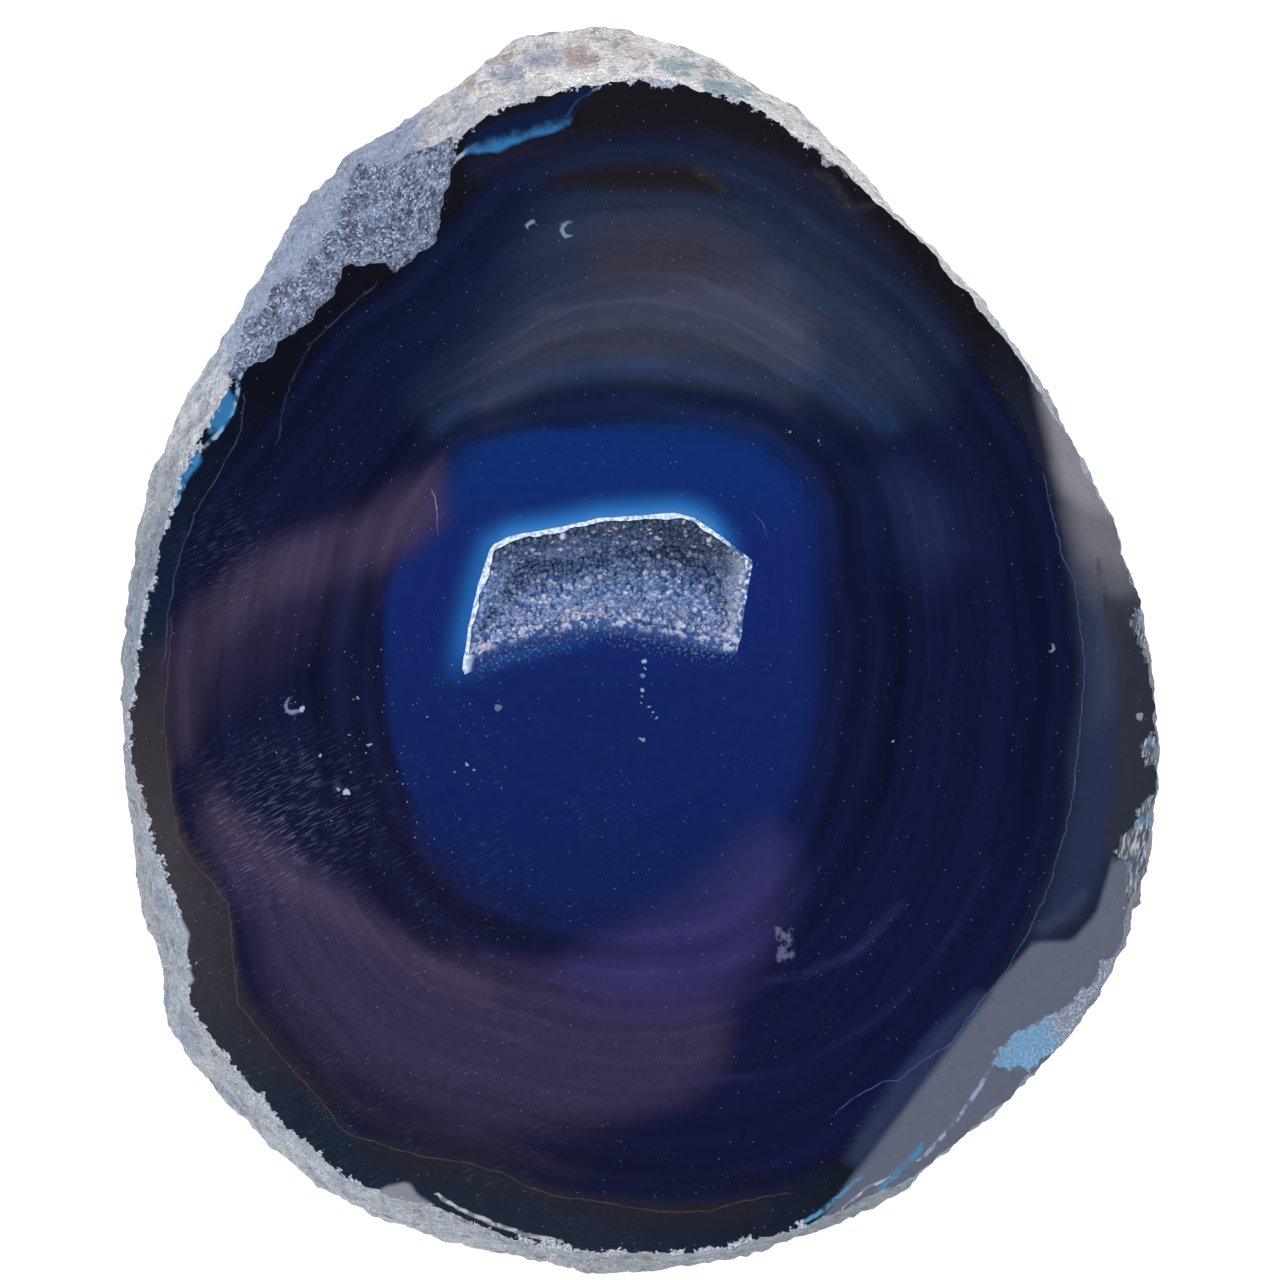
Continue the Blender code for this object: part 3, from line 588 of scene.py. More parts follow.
def cut_away(piece, cutter, finish):
    """Cut a block out of a piece; the cut takes the cutter's finish."""
    cutter.data.materials.append(finish)
    cut = piece.modifiers.new(cutter.name, "BOOLEAN")
    cut.operation = "DIFFERENCE"
    cut.solver = "EXACT"
    cut.material_mode = "TRANSFER"
    cut.object = cutter
    bpy.context.view_layer.update()
    evaluated = piece.evaluated_get(bpy.context.evaluated_depsgraph_get())
    result = bpy.data.meshes.new_from_object(evaluated)
    piece.modifiers.remove(cut)
    piece.data = result
    bpy.data.objects.remove(cutter)


def rind_relief(place):
    """Lumps, shallow pits and grain of the natural rind."""
    depth = min(max((THICKNESS - place.z) / RIND_LUMP_DEPTH, 0.0), 1.0)
    relief = 0.0
    for size, height, beside_face in RIND_LUMPS:
        share = beside_face + (1 - beside_face) * depth
        relief += noise.noise(place / (size * MM)) * height * MM * share
    nearest = noise.voronoi(place / (RIND_PIT_SPACING * MM))[0][0]
    pit = max(0.0, 1.0 - nearest / RIND_PIT_REACH)
    relief -= pit * pit * RIND_PIT_DEPTH * depth
    for size, height in RIND_GRAIN:
        relief += noise.noise(place / (size * MM)) * height * MM
    return relief


def nodule_point(direction, girth, face):
    """Point of the whole, uncut nodule in the direction of a point of a unit sphere."""
    angle = math.atan2(direction.y, direction.x)
    across = math.hypot(direction.x, direction.y)
    girth_radius = float(radius_at(girth, angle))
    if direction.z >= 0:
        taper = float(radius_at(face, angle)) / girth_radius
        crown = GIRTH_DEPTH / math.sqrt(1 - taper * taper)
        radius = girth_radius * across
        height = crown * direction.z
    else:
        power = 2 / BACK_SQUARENESS
        radius = girth_radius * across ** power
        height = -(THICKNESS - GIRTH_DEPTH + SPOT_CUT) * (-direction.z) ** power
    x, y = on_stone(*OUTLINE_CENTRE)
    place = Vector((
        x + radius * math.cos(angle),
        y + radius * math.sin(angle),
        THICKNESS - GIRTH_DEPTH + height,
    ))
    return place + direction * rind_relief(place)


def whole_nodule():
    """The nodule before it was sawn, with its resting spot."""
    girth = outline_radii(GIRTH_OUTLINE, OUTLINE_CENTRE, GIRTH_SPREAD)
    face = outline_radii(FACE_OUTLINE, OUTLINE_CENTRE)
    bm = bmesh.new()
    bmesh.ops.create_icosphere(bm, subdivisions=NODULE_SUBDIVISIONS, radius=1.0)
    belt = [edge for edge in bm.edges if all(BELT[0] < end.co.z < BELT[1] for end in edge.verts)]
    bmesh.ops.subdivide_edges(bm, edges=belt, cuts=1, use_grid_fill=True)
    for corner in bm.verts:
        corner.co = nodule_point(corner.co.normalized(), girth, face)
    saw_off(bm, (0, 0, THICKNESS + LID / 2), (0, 0, 1))
    saw_off(bm, (0, 0, 0), (0, 0, -1))
    bmesh.ops.recalc_face_normals(bm, faces=bm.faces)
    return new_piece("agate_stone", bm)


def soft_least(first, second, width):
    """The lesser of two heights, with the crease between them rounded over a width."""
    near = np.maximum(width - np.abs(first - second), 0) / width
    return np.minimum(first, second) - near * near * width / 4


def facet_frame(start, end):
    """Unit direction that a facet falls away in."""
    length = math.hypot(end[0] - start[0], end[1] - start[1])
    return (end[1] - start[1]) / length, -(end[0] - start[0]) / length


def polished_heights(x, y):
    """Height of the polish: flat, rolled off down the right side, and chipped at its edge."""
    rolled = None
    for start, end, tilt in FACETS:
        out_x, out_y = facet_frame(start, end)
        run = (x - start[0]) * out_x + (y - start[1]) * out_y
        fall = THICKNESS - run * MM * math.tan(math.radians(tilt))
        if rolled is None:
            rolled = fall
        else:
            below = THICKNESS - np.minimum(rolled, fall)
            rolled = soft_least(rolled, fall, np.clip(below, FACET_ROUNDING / 100, FACET_ROUNDING))
    height = np.minimum(THICKNESS, rolled)
    depth, sunk = chip_depth(x, y)
    return height - np.clip(depth / sunk, 0, 1) * sunk * MM


def chip_depth(x, y):
    """How far points lie inside the nearest chip, in mm, and how deep that chip is, in mm."""
    ragged = roughness_of(x, y, CHIP_RAGGED)
    depths = np.array([depth_inside(x, y, outline) for outline, _ in CHIPS])
    nearest = depths.argmax(axis=0)
    sunk = np.array([depth for _, depth in CHIPS])[nearest]
    return depths.max(axis=0) + ragged, sunk


def facet_creases():
    """Upright planes along the edge between the face and each facet."""
    creases = []
    for start, end, _ in FACETS:
        out_x, out_y = facet_frame(start, end)
        x, y = on_stone(*start)
        creases.append(((x, y, 0), (out_x, out_y, 0)))
    return creases


def patch_heights(x, y):
    """Floor of the broken patch: a sugary slope below a ragged edge."""
    inside = depth_inside(x, y, PATCH_EDGE + PATCH_OUTSIDE) + roughness_of(x, y, RAGGED)
    run = path_distance(x, y, PATCH_EDGE)
    grain = roughness_of(x, y, PATCH_GRAIN) * MM
    sugar = np.array([
        noise.voronoi(Vector((one_x, one_y, 0)) / SUGAR_SIZE)[0][0] for one_x, one_y in zip(x, y)])
    floor = THICKNESS - PATCH_STEP - run * MM * PATCH_SLOPE - grain - sugar * SUGAR_HEIGHT
    return np.where(inside > 0, floor, np.minimum(floor - inside * MM * WALL_RISE, THICKNESS + LID / 2))


def hollow_floor(x, y):
    """Height of the lumpy bowl that the open air of the hollow reaches down to."""
    south = np.interp(x, *zip(*SOUTH_EDGE))
    run = np.clip((y - south) / (HOLLOW_NORTH - south), 0, 1)
    bowl = HOLLOW_DEPTH * (1 - (1 - run) ** HOLLOW_CURVE)
    return THICKNESS - bowl - roughness_of(x, y, HOLLOW_LUMPS) * MM * np.clip(run * 5, 0, 1)


def pocket_heights(x, y):
    """Floor and walls of the room that the stone leaves for the crust."""
    wall = THICKNESS - depth_inside(x, y, CRUST_RIM) * MM * WALL_RISE
    return np.clip(wall, hollow_floor(x, y) - CRUST_DROP, THICKNESS + LID / 2)


def crust_heights(x, y):
    """Outside of the crust, just clear of the stone."""
    return pocket_heights(x, y) + CRUST_FIT * WALL_RISE


def mouth_heights(x, y):
    """Inside of the crust, where its crystals stand."""
    ragged = roughness_of(x, y, MOUTH_RAGGED)
    wall = THICKNESS - (depth_inside(x, y, HOLLOW_MOUTH) + ragged) * MM * INNER_WALL_RISE
    return np.clip(wall, hollow_floor(x, y), THICKNESS + LID / 2)


# Crust of crystals

def build_crust(finishes):
    """The crust that lines the hollow, with a crystal standing on every spot of it."""
    crust = height_block("quartz_crust", (-21, -6), (14, 16), HOLLOW_SPACING, crust_heights)
    bm = bmesh.new()
    bm.from_mesh(crust.data)
    bpy.data.objects.remove(crust)
    saw_off(bm, (0, 0, THICKNESS - CRUST_BELOW_FACE), (0, 0, 1))
    sealed = new_piece("quartz_crust", bm)
    sealed.data.materials.append(finishes["sawn_quartz"])
    mouth = height_block("mouth_block", (-21, -6), (14, 16), HOLLOW_SPACING, mouth_heights)
    cut_away(sealed, mouth, finishes["crystal"])
    grow_crystals(sealed)
    return sealed


def crystal_spots(mesh, chance):
    """Places on the inside of the crust, and the direction that a crystal leans in there."""
    beds = [face for face in mesh.polygons if face.material_index == 1]
    beds.sort(key=lambda face: tuple(face.center))
    areas = [face.area for face in beds]
    places = np.empty((0, 3))
    spots = []
    for face in chance.choices(beds, areas, k=CRYSTAL_COUNT * 3):
        corners = [mesh.vertices[index].co for index in face.vertices[:3]]
        first, second = sorted((chance.random(), chance.random()))
        place = corners[0] * first + corners[1] * (second - first) + corners[2] * (1 - second)
        if len(places) and np.linalg.norm(places - place, axis=1).min() < CRYSTAL_SPACING:
            continue
        places = np.vstack([places, place])
        spots.append((place, face.normal.copy()))
        if len(spots) == CRYSTAL_COUNT:
            break
    return spots


def one_crystal(radius, length):
    """A six-sided quartz point standing on the origin."""
    bm = bmesh.new()
    bmesh.ops.create_cone(
        bm, cap_ends=True, segments=6, radius1=radius, radius2=radius * 0.92, depth=length * 2)
    bm.normal_update()
    top = max(bm.faces, key=lambda face: face.calc_center_median().z)
    bmesh.ops.poke(bm, faces=[top], offset=radius * CRYSTAL_TIP)
    return bm


def grow_crystals(crust):
    """Stand crystals on the crust, all of them below the polished face."""
    chance = random.Random(CRYSTAL_SEED)
    grown = bmesh.new()
    tone = grown.verts.layers.float.new("tone")
    for place, normal in crystal_spots(crust.data, chance):
        radius = chance.uniform(*CRYSTAL_RADIUS) * MM
        length = chance.uniform(*CRYSTAL_LENGTH) * MM
        crystal = one_crystal(radius, length)
        lean = normal + Vector([chance.uniform(-1, 1) for _ in range(3)]) * CRYSTAL_LEAN
        turn = lean.to_track_quat("Z", "Y").to_matrix().to_4x4()
        spin = Matrix.Rotation(chance.uniform(0, math.tau), 4, "Z")
        bmesh.ops.transform(
            crystal, matrix=Matrix.Translation(place) @ turn @ spin, verts=crystal.verts)
        top = max(corner.co.z for corner in crystal.verts)
        below = THICKNESS - chance.uniform(*CRYSTAL_BELOW_FACE) * MM
        bmesh.ops.translate(crystal, verts=crystal.verts, vec=(0, 0, min(below - top, 0)))
        mesh = bpy.data.meshes.new("crystal")
        crystal.to_mesh(mesh)
        crystal.free()
        before = len(grown.verts)
        grown.from_mesh(mesh)
        bpy.data.meshes.remove(mesh)
        grown.verts.ensure_lookup_table()
        shade = chance.random()
        for corner in grown.verts[before:]:
            corner[tone] = shade
    for face in grown.faces:
        face.material_index = 1
    grown.from_mesh(crust.data)
    bmesh.ops.recalc_face_normals(grown, faces=grown.faces)
    grown.to_mesh(crust.data)
    grown.free()


# Materials

class Wire:
    """A socket of a material: arithmetic on it adds Math nodes."""

    def __init__(self, finish, socket):
        self.finish = finish
        self.socket = socket

    def math(self, operation, *others):
        """A Math node of this value and others."""
        values = dict(enumerate([self, *others]))
        return self.finish.node("Math", {"operation": operation}, values)

    def __add__(self, other):
        return self.math("ADD", other)

    def __mul__(self, other):
        return self.math("MULTIPLY", other)

    def __sub__(self, other):
        return self.math("SUBTRACT", other)

    def __truediv__(self, other):
        return self.math("DIVIDE", other)

    def __rsub__(self, other):
        return self.finish.node("Math", {"operation": "SUBTRACT"}, {0: other, 1: self})

    __radd__ = __add__
    __rmul__ = __mul__

    def step(self, low, high, top=1.0):
        """Smooth step of this value from 0 at low to a top at high."""
        settings = {"interpolation_type": "SMOOTHSTEP"}
        if low < high:
            limits = {"From Min": low, "From Max": high, "To Min": 0.0, "To Max": top}
        else:
            limits = {"From Min": high, "From Max": low, "To Min": top, "To Max": 0.0}
        return self.finish.node("MapRange", settings, {"Value": self, **limits})


class Finish:
    """A material made of nodes."""

    def __init__(self, name, dimensions="3D"):
        self.dimensions = dimensions
        self.material = bpy.data.materials.new(name)
        self.material.use_nodes = True
        self.tree = self.material.node_tree
        self.tree.nodes.clear()
        self.packs = {}

    def node(self, kind, settings=None, inputs=None, output=0):
        """Add a node: its settings first, then the values or links of its sockets."""
        made = self.tree.nodes.new("ShaderNode" + kind)
        for name, value in (settings or {}).items():
            if name == "stops":
                self.set_stops(made.color_ramp, value)
            else:
                setattr(made, name, value)
        for name, value in (inputs or {}).items():
            if isinstance(value, Wire):
                self.tree.links.new(value.socket, made.inputs[name])
            else:
                made.inputs[name].default_value = value
        return Wire(self, made.outputs[output])

    def set_stops(self, ramp, stops):
        """Give a colour ramp its stops."""
        while len(ramp.elements) < len(stops):
            ramp.elements.new(1.0)
        for element, (place, shade) in zip(ramp.elements, stops):
            element.position = place
        for element, (place, shade) in zip(ramp.elements, stops):
            element.color = shade

    def place(self):
        """Place on the stone, in metres."""
        return self.node("TexCoord", output="Object")

    def axes(self):
        """Place on the face in mm, as two values, and the height in mm."""
        split = self.node("SeparateXYZ", inputs={0: self.place()}).socket.node
        x, y, z = (Wire(self, output) * 1000 for output in split.outputs)
        return x - CENTRING[0], y - CENTRING[1], z

    def stretched(self, turn, size):
        """Place on the stone turned about Z, in degrees, and divided by a size for each axis, mm."""
        return self.node("Mapping", {"vector_type": "TEXTURE"}, {
            "Vector": self.place(),
            "Rotation": (0, 0, math.radians(turn)),
            "Scale": tuple(each * MM for each in size),
        })

    def noise(self, size, detail=2.0, rough=0.5, seed=0.0, turn=0):
        """Noise from 0 to 1 with lumps of a size in mm, or of a size for each axis."""
        if turn:
            vector = self.stretched(turn, size)
        else:
            vector = self.spread(size, seed)
        return self.node("TexNoise", {"noise_dimensions": self.dimensions}, {
            "Vector": vector, "Scale": 1.0, "Detail": detail, "Roughness": rough})

    def cells(self, size, output="Distance", feature="F1"):
        """Cells of a size in mm: the distance to a middle or an edge, or a cell's own colour."""
        settings = {"voronoi_dimensions": self.dimensions, "feature": feature}
        return self.node("TexVoronoi", settings, {"Vector": self.spread(size), "Scale": 1.0}, output)

    def lot(self, cells):
        """A value of its own, from 0 to 1, for each cell."""
        return Wire(self, cells.socket.node.outputs["Color"]) * 1.0

    def spread(self, size, seed=0.0):
        """Place on the stone divided by a size in mm, and moved away by a seed."""
        sizes = size if isinstance(size, tuple) else (size,) * 3
        return self.node("VectorMath", {"operation": "MULTIPLY_ADD"}, {
            0: self.place(), 1: tuple(1 / (each * MM) for each in sizes), 2: (seed * SEED_STEP,) * 3})

    def attribute(self, name, output="Fac"):
        """A value that the mesh carries."""
        return self.node("Attribute", {"attribute_name": name}, output=output)

    def stored(self, name):
        """A value of the face that mark_face stores with two others."""
        group, axis = divmod(STORED.index(name), 3)
        if group not in self.packs:
            packed = self.attribute(f"face_{group}", "Vector")
            self.packs[group] = self.node("SeparateXYZ", inputs={0: packed}).socket.node
        return Wire(self, self.packs[group].outputs[axis])

    def ramp(self, value, stops):
        """Colours along a value from 0 to 1."""
        return self.node("ValToRGB", {"stops": stops}, {"Fac": value}, "Color")

    def blend(self, factor, first, second, kind="MIX"):
        """Mix two colours."""
        settings = {"data_type": "RGBA", "blend_type": kind, "clamp_factor": True}
        return self.node("Mix", settings, {0: factor, 6: first, 7: second}, 2)

    def spot(self, flat, x, y, radius, soft=0.0, top=1.0):
        """A soft disc on the face, a top inside it; middle, radius and softness in mm."""
        away = self.node(
            "VectorMath", {"operation": "DISTANCE"}, {0: flat, 1: (x, y, 0)}, "Value")
        return away.step(radius * 1.15 + soft, radius * 0.75 - soft, top)

    def tint(self, colour, value):
        """A colour brightened or darkened by a value."""
        grey = self.node("CombineColor", inputs={0: value, 1: value, 2: value})
        return self.blend(1.0, colour, grey, "MULTIPLY")

    def bump(self, height, distance, strength=1.0, normal=None):
        """Relief of a distance in mm where the height goes from 0 to 1."""
        inputs = {"Height": height, "Distance": distance * MM, "Strength": strength}
        if normal is not None:
            inputs["Normal"] = normal
        return self.node("Bump", inputs=inputs)

    def surface(self, **inputs):
        """Close the material with a Principled shader."""
        named = {name.replace("_", " "): value for name, value in inputs.items()}
        shader = self.node("BsdfPrincipled", inputs=named)
        self.node_output(shader)
        return self.material

    def node_output(self, shader):
        """Link the shader to the material's output."""
        output = self.tree.nodes.new("ShaderNodeOutputMaterial")
        self.tree.links.new(shader.socket, output.inputs["Surface"])


def shade(red, green, blue):
    """A colour as a screen shows it, 0 to 255, as linear light."""
    channels = [each / 255 for each in (red, green, blue)]
    linear = [
        each / 12.92 if each < 0.04045 else ((each + 0.055) / 1.055) ** 2.4 for each in channels]
    return (*linear, 1.0)


def round_stops(colours):
    """Ramp stops for colours given at angles from -180 to 180 degrees."""
    return [((angle + 180) / 360, shade(*colour)) for angle, colour in colours]


def grey_stops(levels):
    """Ramp stops for grey levels given at rings from 0 to 3."""
    return [(ring / 3, (level, level, level, 1)) for ring, level in levels]


# Broad darker and lighter bands: ring, and brightness there
EDGE_BANDS = [
    (0.0, 1.0), (1.12, 1.0), (1.25, 0.8), (1.3, 0.82), (1.38, 1.06), (1.5, 1.0), (1.58, 0.92),
    (1.64, 0.98), (1.7, 1.12), (1.76, 0.92), (1.83, 0.76), (1.88, 0.8), (1.92, 1.02),
    (1.97, 0.72), (2.03, 0.95), (3.0, 1.0),
]
# Colours of the agate round its middle: at the angle in degrees from +X
MARGIN_COLOURS = [
    (-180, (20, 33, 56)), (-174, (27, 36, 55)), (-166, (54, 51, 59)), (-150, (65, 61, 68)),
    (-135, (50, 51, 60)), (-120, (28, 37, 54)), (-95, (33, 40, 55)), (-80, (29, 35, 52)),
    (-70, (21, 26, 41)), (-45, (26, 32, 54)),
    (-25, (38, 46, 70)), (2, (44, 52, 74)), (20, (30, 36, 54)), (38, (22, 21, 28)), (90, (27, 25, 32)),
    (118, (17, 18, 28)), (150, (14, 16, 30)), (170, (17, 26, 48)), (180, (20, 33, 56)),
]
MIDDLE_COLOURS = [
    (-180, (18, 22, 53)), (-120, (22, 24, 54)), (-60, (17, 22, 57)), (0, (17, 21, 54)),
    (60, (19, 28, 57)), (90, (20, 29, 58)), (115, (18, 28, 58)), (145, (15, 21, 52)),
    (180, (18, 22, 53)),
]
# Colours of the rind round the middle of the bands, at the angle in degrees from +X: partly the rind's own
# colour and partly painted light, whitest at the top where the light falls.
RIND_COLOURS_AND_LIGHT = [
    (-180, (164, 176, 194)), (-150, (186, 197, 213)), (-120, (206, 213, 224)),
    (-95, (190, 196, 206)), (-60, (140, 154, 168)), (0, (144, 152, 168)), (40, (226, 230, 238)),
    (62, (250, 249, 251)), (100, (253, 251, 253)), (108, (230, 230, 236)), (114, (164, 178, 210)),
    (142, (176, 192, 222)), (158, (232, 236, 243)), (170, (166, 176, 192)),
    (180, (164, 176, 194)),
]
# Stains of the rind: place and radius in mm, and colour
RIND_STAINS = [
    (-13.0, 57.6, 1.6, (158, 168, 200)), (-9.5, 59.0, 1.5, (158, 168, 200)),
    (-6.0, 59.3, 1.8, (180, 150, 146)), (-17.0, 57.2, 1.2, (196, 172, 152)),
    (-14.6, 59.6, 1.2, (196, 172, 152)), (3.6, 58.5, 1.0, (146, 186, 196)),
    (10.3, 55.8, 1.2, (146, 186, 196)), (6.9, 58.0, 1.0, (184, 172, 166)),
]
# The light blue round the top of the hollow is a painted glow of light shining through the stone.
GLOW = 3.5                   # mm, how far the light blue reaches round the hollow


def turn_of(finish, x, y):
    """Angle round the middle of the bands, from 0 to 1."""
    return (y - BAND_CENTRE[1]).math("ARCTAN2", x - BAND_CENTRE[0]) / math.tau + 0.5


def fuzzy_roots(finish, fuzz):
    """Pale roots of the crystals in the blue below the hollow: colour and share."""
    grain = finish.noise(0.34, 2.0, 0.6, 21.0)
    fade = (finish.stored("halo") + fuzz * 1.6).step(1.7, -0.2)
    colour = finish.blend(grain.step(0.5, 0.8), shade(44, 78, 134), shade(140, 160, 200))
    return colour, grain.step(0.46, 0.7) * fade


def polished_agate():
    """Polished agate: concentric bands, soft zones (some of them painted reflections), thin lines, flakes,
    specks and scratches, and a painted glow above the hollow.
    """
    agate = Finish("polished_agate", "2D")
    x, y, z = agate.axes()
    flat = agate.node("CombineXYZ", inputs={0: x, 1: y, 2: 0.0})
    slow = agate.noise(14, 2.0, 0.5, 1.0) - 0.5
    quick = agate.noise(3.0, 3.0, 0.6, 2.0) - 0.5
    ring = agate.stored("ring") + slow * 0.07 + quick * 0.025
    turn = turn_of(agate, x, y) + slow * 0.03
    margin = agate.ramp(turn, round_stops(MARGIN_COLOURS))
    middle = agate.ramp(turn, round_stops(MIDDLE_COLOURS))
    core = agate.blend((y + 28) / 34, shade(18, 33, 84), shade(20, 39, 106))
    core = agate.blend(y.step(10.0, 20.0), core, shade(16, 46, 112))

    low = y.step(-14.0, -26.0)
    edge_of_core = (agate.stored("core") + slow * 1.5 + low) / (
        x.step(-14.0, 10.0, 2.0) + low * 2 + 0.7)
    in_core = edge_of_core.step(-1.0, 1.0)
    fine = agate.node("TexNoise", {"noise_dimensions": "1D"}, {
        "W": ring * 13, "Scale": 1.0, "Detail": 3.0, "Roughness": 0.55})
    patchy = agate.noise(7, 2.0, 0.5, 8.0)
    on_facet = z.step(49.9, 49.6)
    in_margin = ring.step(1.93, 2.02)
    plain = (1 - in_core * 0.75) * (1 - on_facet * 0.8) * (1 - in_margin * 0.75)
    contrast = (patchy.step(0.35, 0.65) * 0.4 + 0.6) * plain
    edge_bands = agate.node("RGBToBW", inputs={0: agate.ramp(ring / 3, grey_stops(EDGE_BANDS))})
    edge_bands = 1 + (edge_bands - 1) * (1 - low * 0.7) * (1 - on_facet)
    mottling = agate.noise(1.3, 3.0, 0.7, 34.0) - 0.5
    bands = (1 + (fine - 0.5) * contrast) * edge_bands * (1 + mottling * 0.25)
    colour = agate.blend(in_core, middle, core)
    colour = agate.blend(in_margin, colour, margin)

    for name, look in SOFT_COLOURS.items():
        depth = slow.math("MULTIPLY_ADD", look["wobble"], agate.stored(name))
        share = depth.step(-look["soft"], look["soft"], look["share"])
        colour = agate.blend(share, colour, shade(*look["colour"]))
    colour = agate.tint(colour, bands)

    # Painted glow: light blue painted round the upper rim of the hollow, brightest at the rim, as light
    # shining through the stone there.
    halo = agate.stored("halo")
    upper = (y + x * -0.35).step(0.0, 7.0) * x.step(12.0, 7.0)
    glow = halo.step(GLOW, 0.0) * upper * (1 - x.step(-12.5, -16.0, 0.2))
    colour = agate.blend(glow.math("POWER", 1.7), colour, shade(38, 112, 188))
    colour = agate.blend(glow.math("POWER", 9.0) * 0.2, colour, shade(110, 166, 220))
    root_colour, root_share = fuzzy_roots(agate, quick)
    below = y.step(5.0, 1.0) * x.step(-17.5, -15.0) * x.step(10.5, 8.5)
    colour = agate.blend(root_share * below * 0.6, colour, root_colour)

    close = agate.stored("line_reach").step(1.1, 0.7)
    wavy = agate.noise(1.6, 2.0, 0.5, 31.0) - 0.5
    gaps = (wavy + mottling * 0.6).step(-0.08, 0.08)
    for layer in range(len(THIN_LINES)):
        name = f"line_{layer}"
        away = wavy.math("MULTIPLY_ADD", 0.5, agate.stored(name)).math("ABSOLUTE")
        near = (away / agate.stored(name + "_half_width")).step(1.0, 0.4)
        uneven = 1 - gaps * agate.stored(name + "_broken")
        share = near * close * uneven * agate.attribute(name + "_colour", "Alpha")
        colour = agate.blend(share, colour, agate.attribute(name + "_colour", "Color"))

    in_flake = (agate.stored("flake") + quick * 0.8).step(-0.3, 0.2, 0.92)
    rise = (y - x * 0.28 - 53.6 + mottling * 1.5).step(0.0, 1.6)
    flake_colour = agate.blend(rise, shade(54, 122, 178), shade(16, 30, 62))
    colour = agate.blend(in_flake, colour, flake_colour)

    clusters = agate.spot(flat, -26.0, -10.0, 9.0, 6.0) + 0.22
    wide = agate.cells(1.7)
    narrow = agate.cells(0.7)
    specks = wide.step(0.06, 0.02) * agate.lot(wide).step(0.66, 0.74)
    small = narrow.step(0.09, 0.03) * quick.step(0.04, 0.12) * agate.lot(narrow).step(0.5, 0.62)
    colour = agate.blend((specks + small) * clusters, colour, shade(150, 168, 206))
    ripples = agate.spot(flat, -36.0, -17.5, 7.5, 5.0) + agate.spot(flat, -41.0, 9.0, 4.5, 4.0, 0.5)
    stroke_noise = agate.noise((0.2, 1.7, 1.7), 2.0, 0.5, 10.0, turn=-62)
    scratches = x.step(8.0, -14.0) * y.step(-6.0, -20.0) * patchy.step(0.4, 0.6)
    strokes = ripples * stroke_noise.step(0.52, 0.66) + scratches * stroke_noise.step(0.6, 0.74) * 0.5
    colour = agate.blend(strokes * 0.17, colour, shade(128, 138, 178))
    rough_flat = agate.node("CombineXYZ", inputs={0: x + mottling * 0.9, 1: y + wavy * 0.9, 2: 0.0})
    dots = 0.0
    for spot_x, spot_y, radius, bright in DOTS:
        dots = agate.spot(rough_flat, spot_x, spot_y, radius * 0.8, 0.0, bright).math("MAXIMUM", dots)
    colour = agate.blend(dots, colour, shade(190, 204, 230))
    for spot_x, spot_y, radius, dark_x, dark_y in CRESCENTS:
        crescent = agate.spot(rough_flat, spot_x, spot_y, radius)
        dark = agate.spot(rough_flat, spot_x + dark_x, spot_y + dark_y, radius * 0.85)
        colour = agate.blend(crescent * (1 - dark) * 0.6, colour, shade(150, 172, 206))
    mark_x, mark_y, half_x, half_y = PALE_MARK
    inside = ((x - mark_x).math("ABSOLUTE") + quick).step(half_x, half_x * 0.6)
    inside = inside * ((y - mark_y).math("ABSOLUTE") + quick).step(half_y, half_y * 0.8)
    rubbed = inside * mottling.step(-0.1, 0.1)
    colour = agate.blend(rubbed * 0.5, colour, shade(126, 130, 168))

    chip = (agate.stored("chip") + 0.1 + mottling * 2.2).step(-0.1, 0.12)
    low_chip = y.step(-27.0, -31.0)
    streaks = agate.noise((0.3, 1.7, 1.7), 3.0, 0.7, turn=-12)
    grains = agate.noise(0.3, 2.0, 0.7, 15.0)
    broken = streaks + (grains - streaks) * low_chip
    ground = agate.blend(low_chip, shade(66, 74, 92), shade(122, 136, 162))
    chip_colour = agate.blend(broken.step(0.46, 0.66), ground, shade(196, 204, 220))
    blueness = low_chip * (x + quick * 7).step(43.5, 40.5, 0.8) + (1 - low_chip) * quick.step(0.08, 0.16, 0.5)
    chip_colour = agate.blend(blueness, chip_colour, agate.tint(shade(108, 166, 210), 0.55 + broken))
    colour = agate.blend(chip, colour, chip_colour)
    rim = (agate.stored("edge") + mottling * 2.4 + quick * 1.6).step(0.12, -0.05)
    rim = rim * (1 - on_facet) * x.step(22.0, 16.0)
    rim_colour = agate.blend(grains.step(0.35, 0.65), shade(122, 130, 152), shade(200, 206, 218))
    colour = agate.blend(rim, colour, rim_colour)
    rough = 0.06 + strokes * 0.2 + specks * 0.3 + chip * 0.45 + rim * 0.6
    return agate.surface(
        Base_Color=agate.tint(colour, FACE_DIMMING), Roughness=rough, IOR=1.54,
        Normal=agate.bump(chip * broken, 0.15))


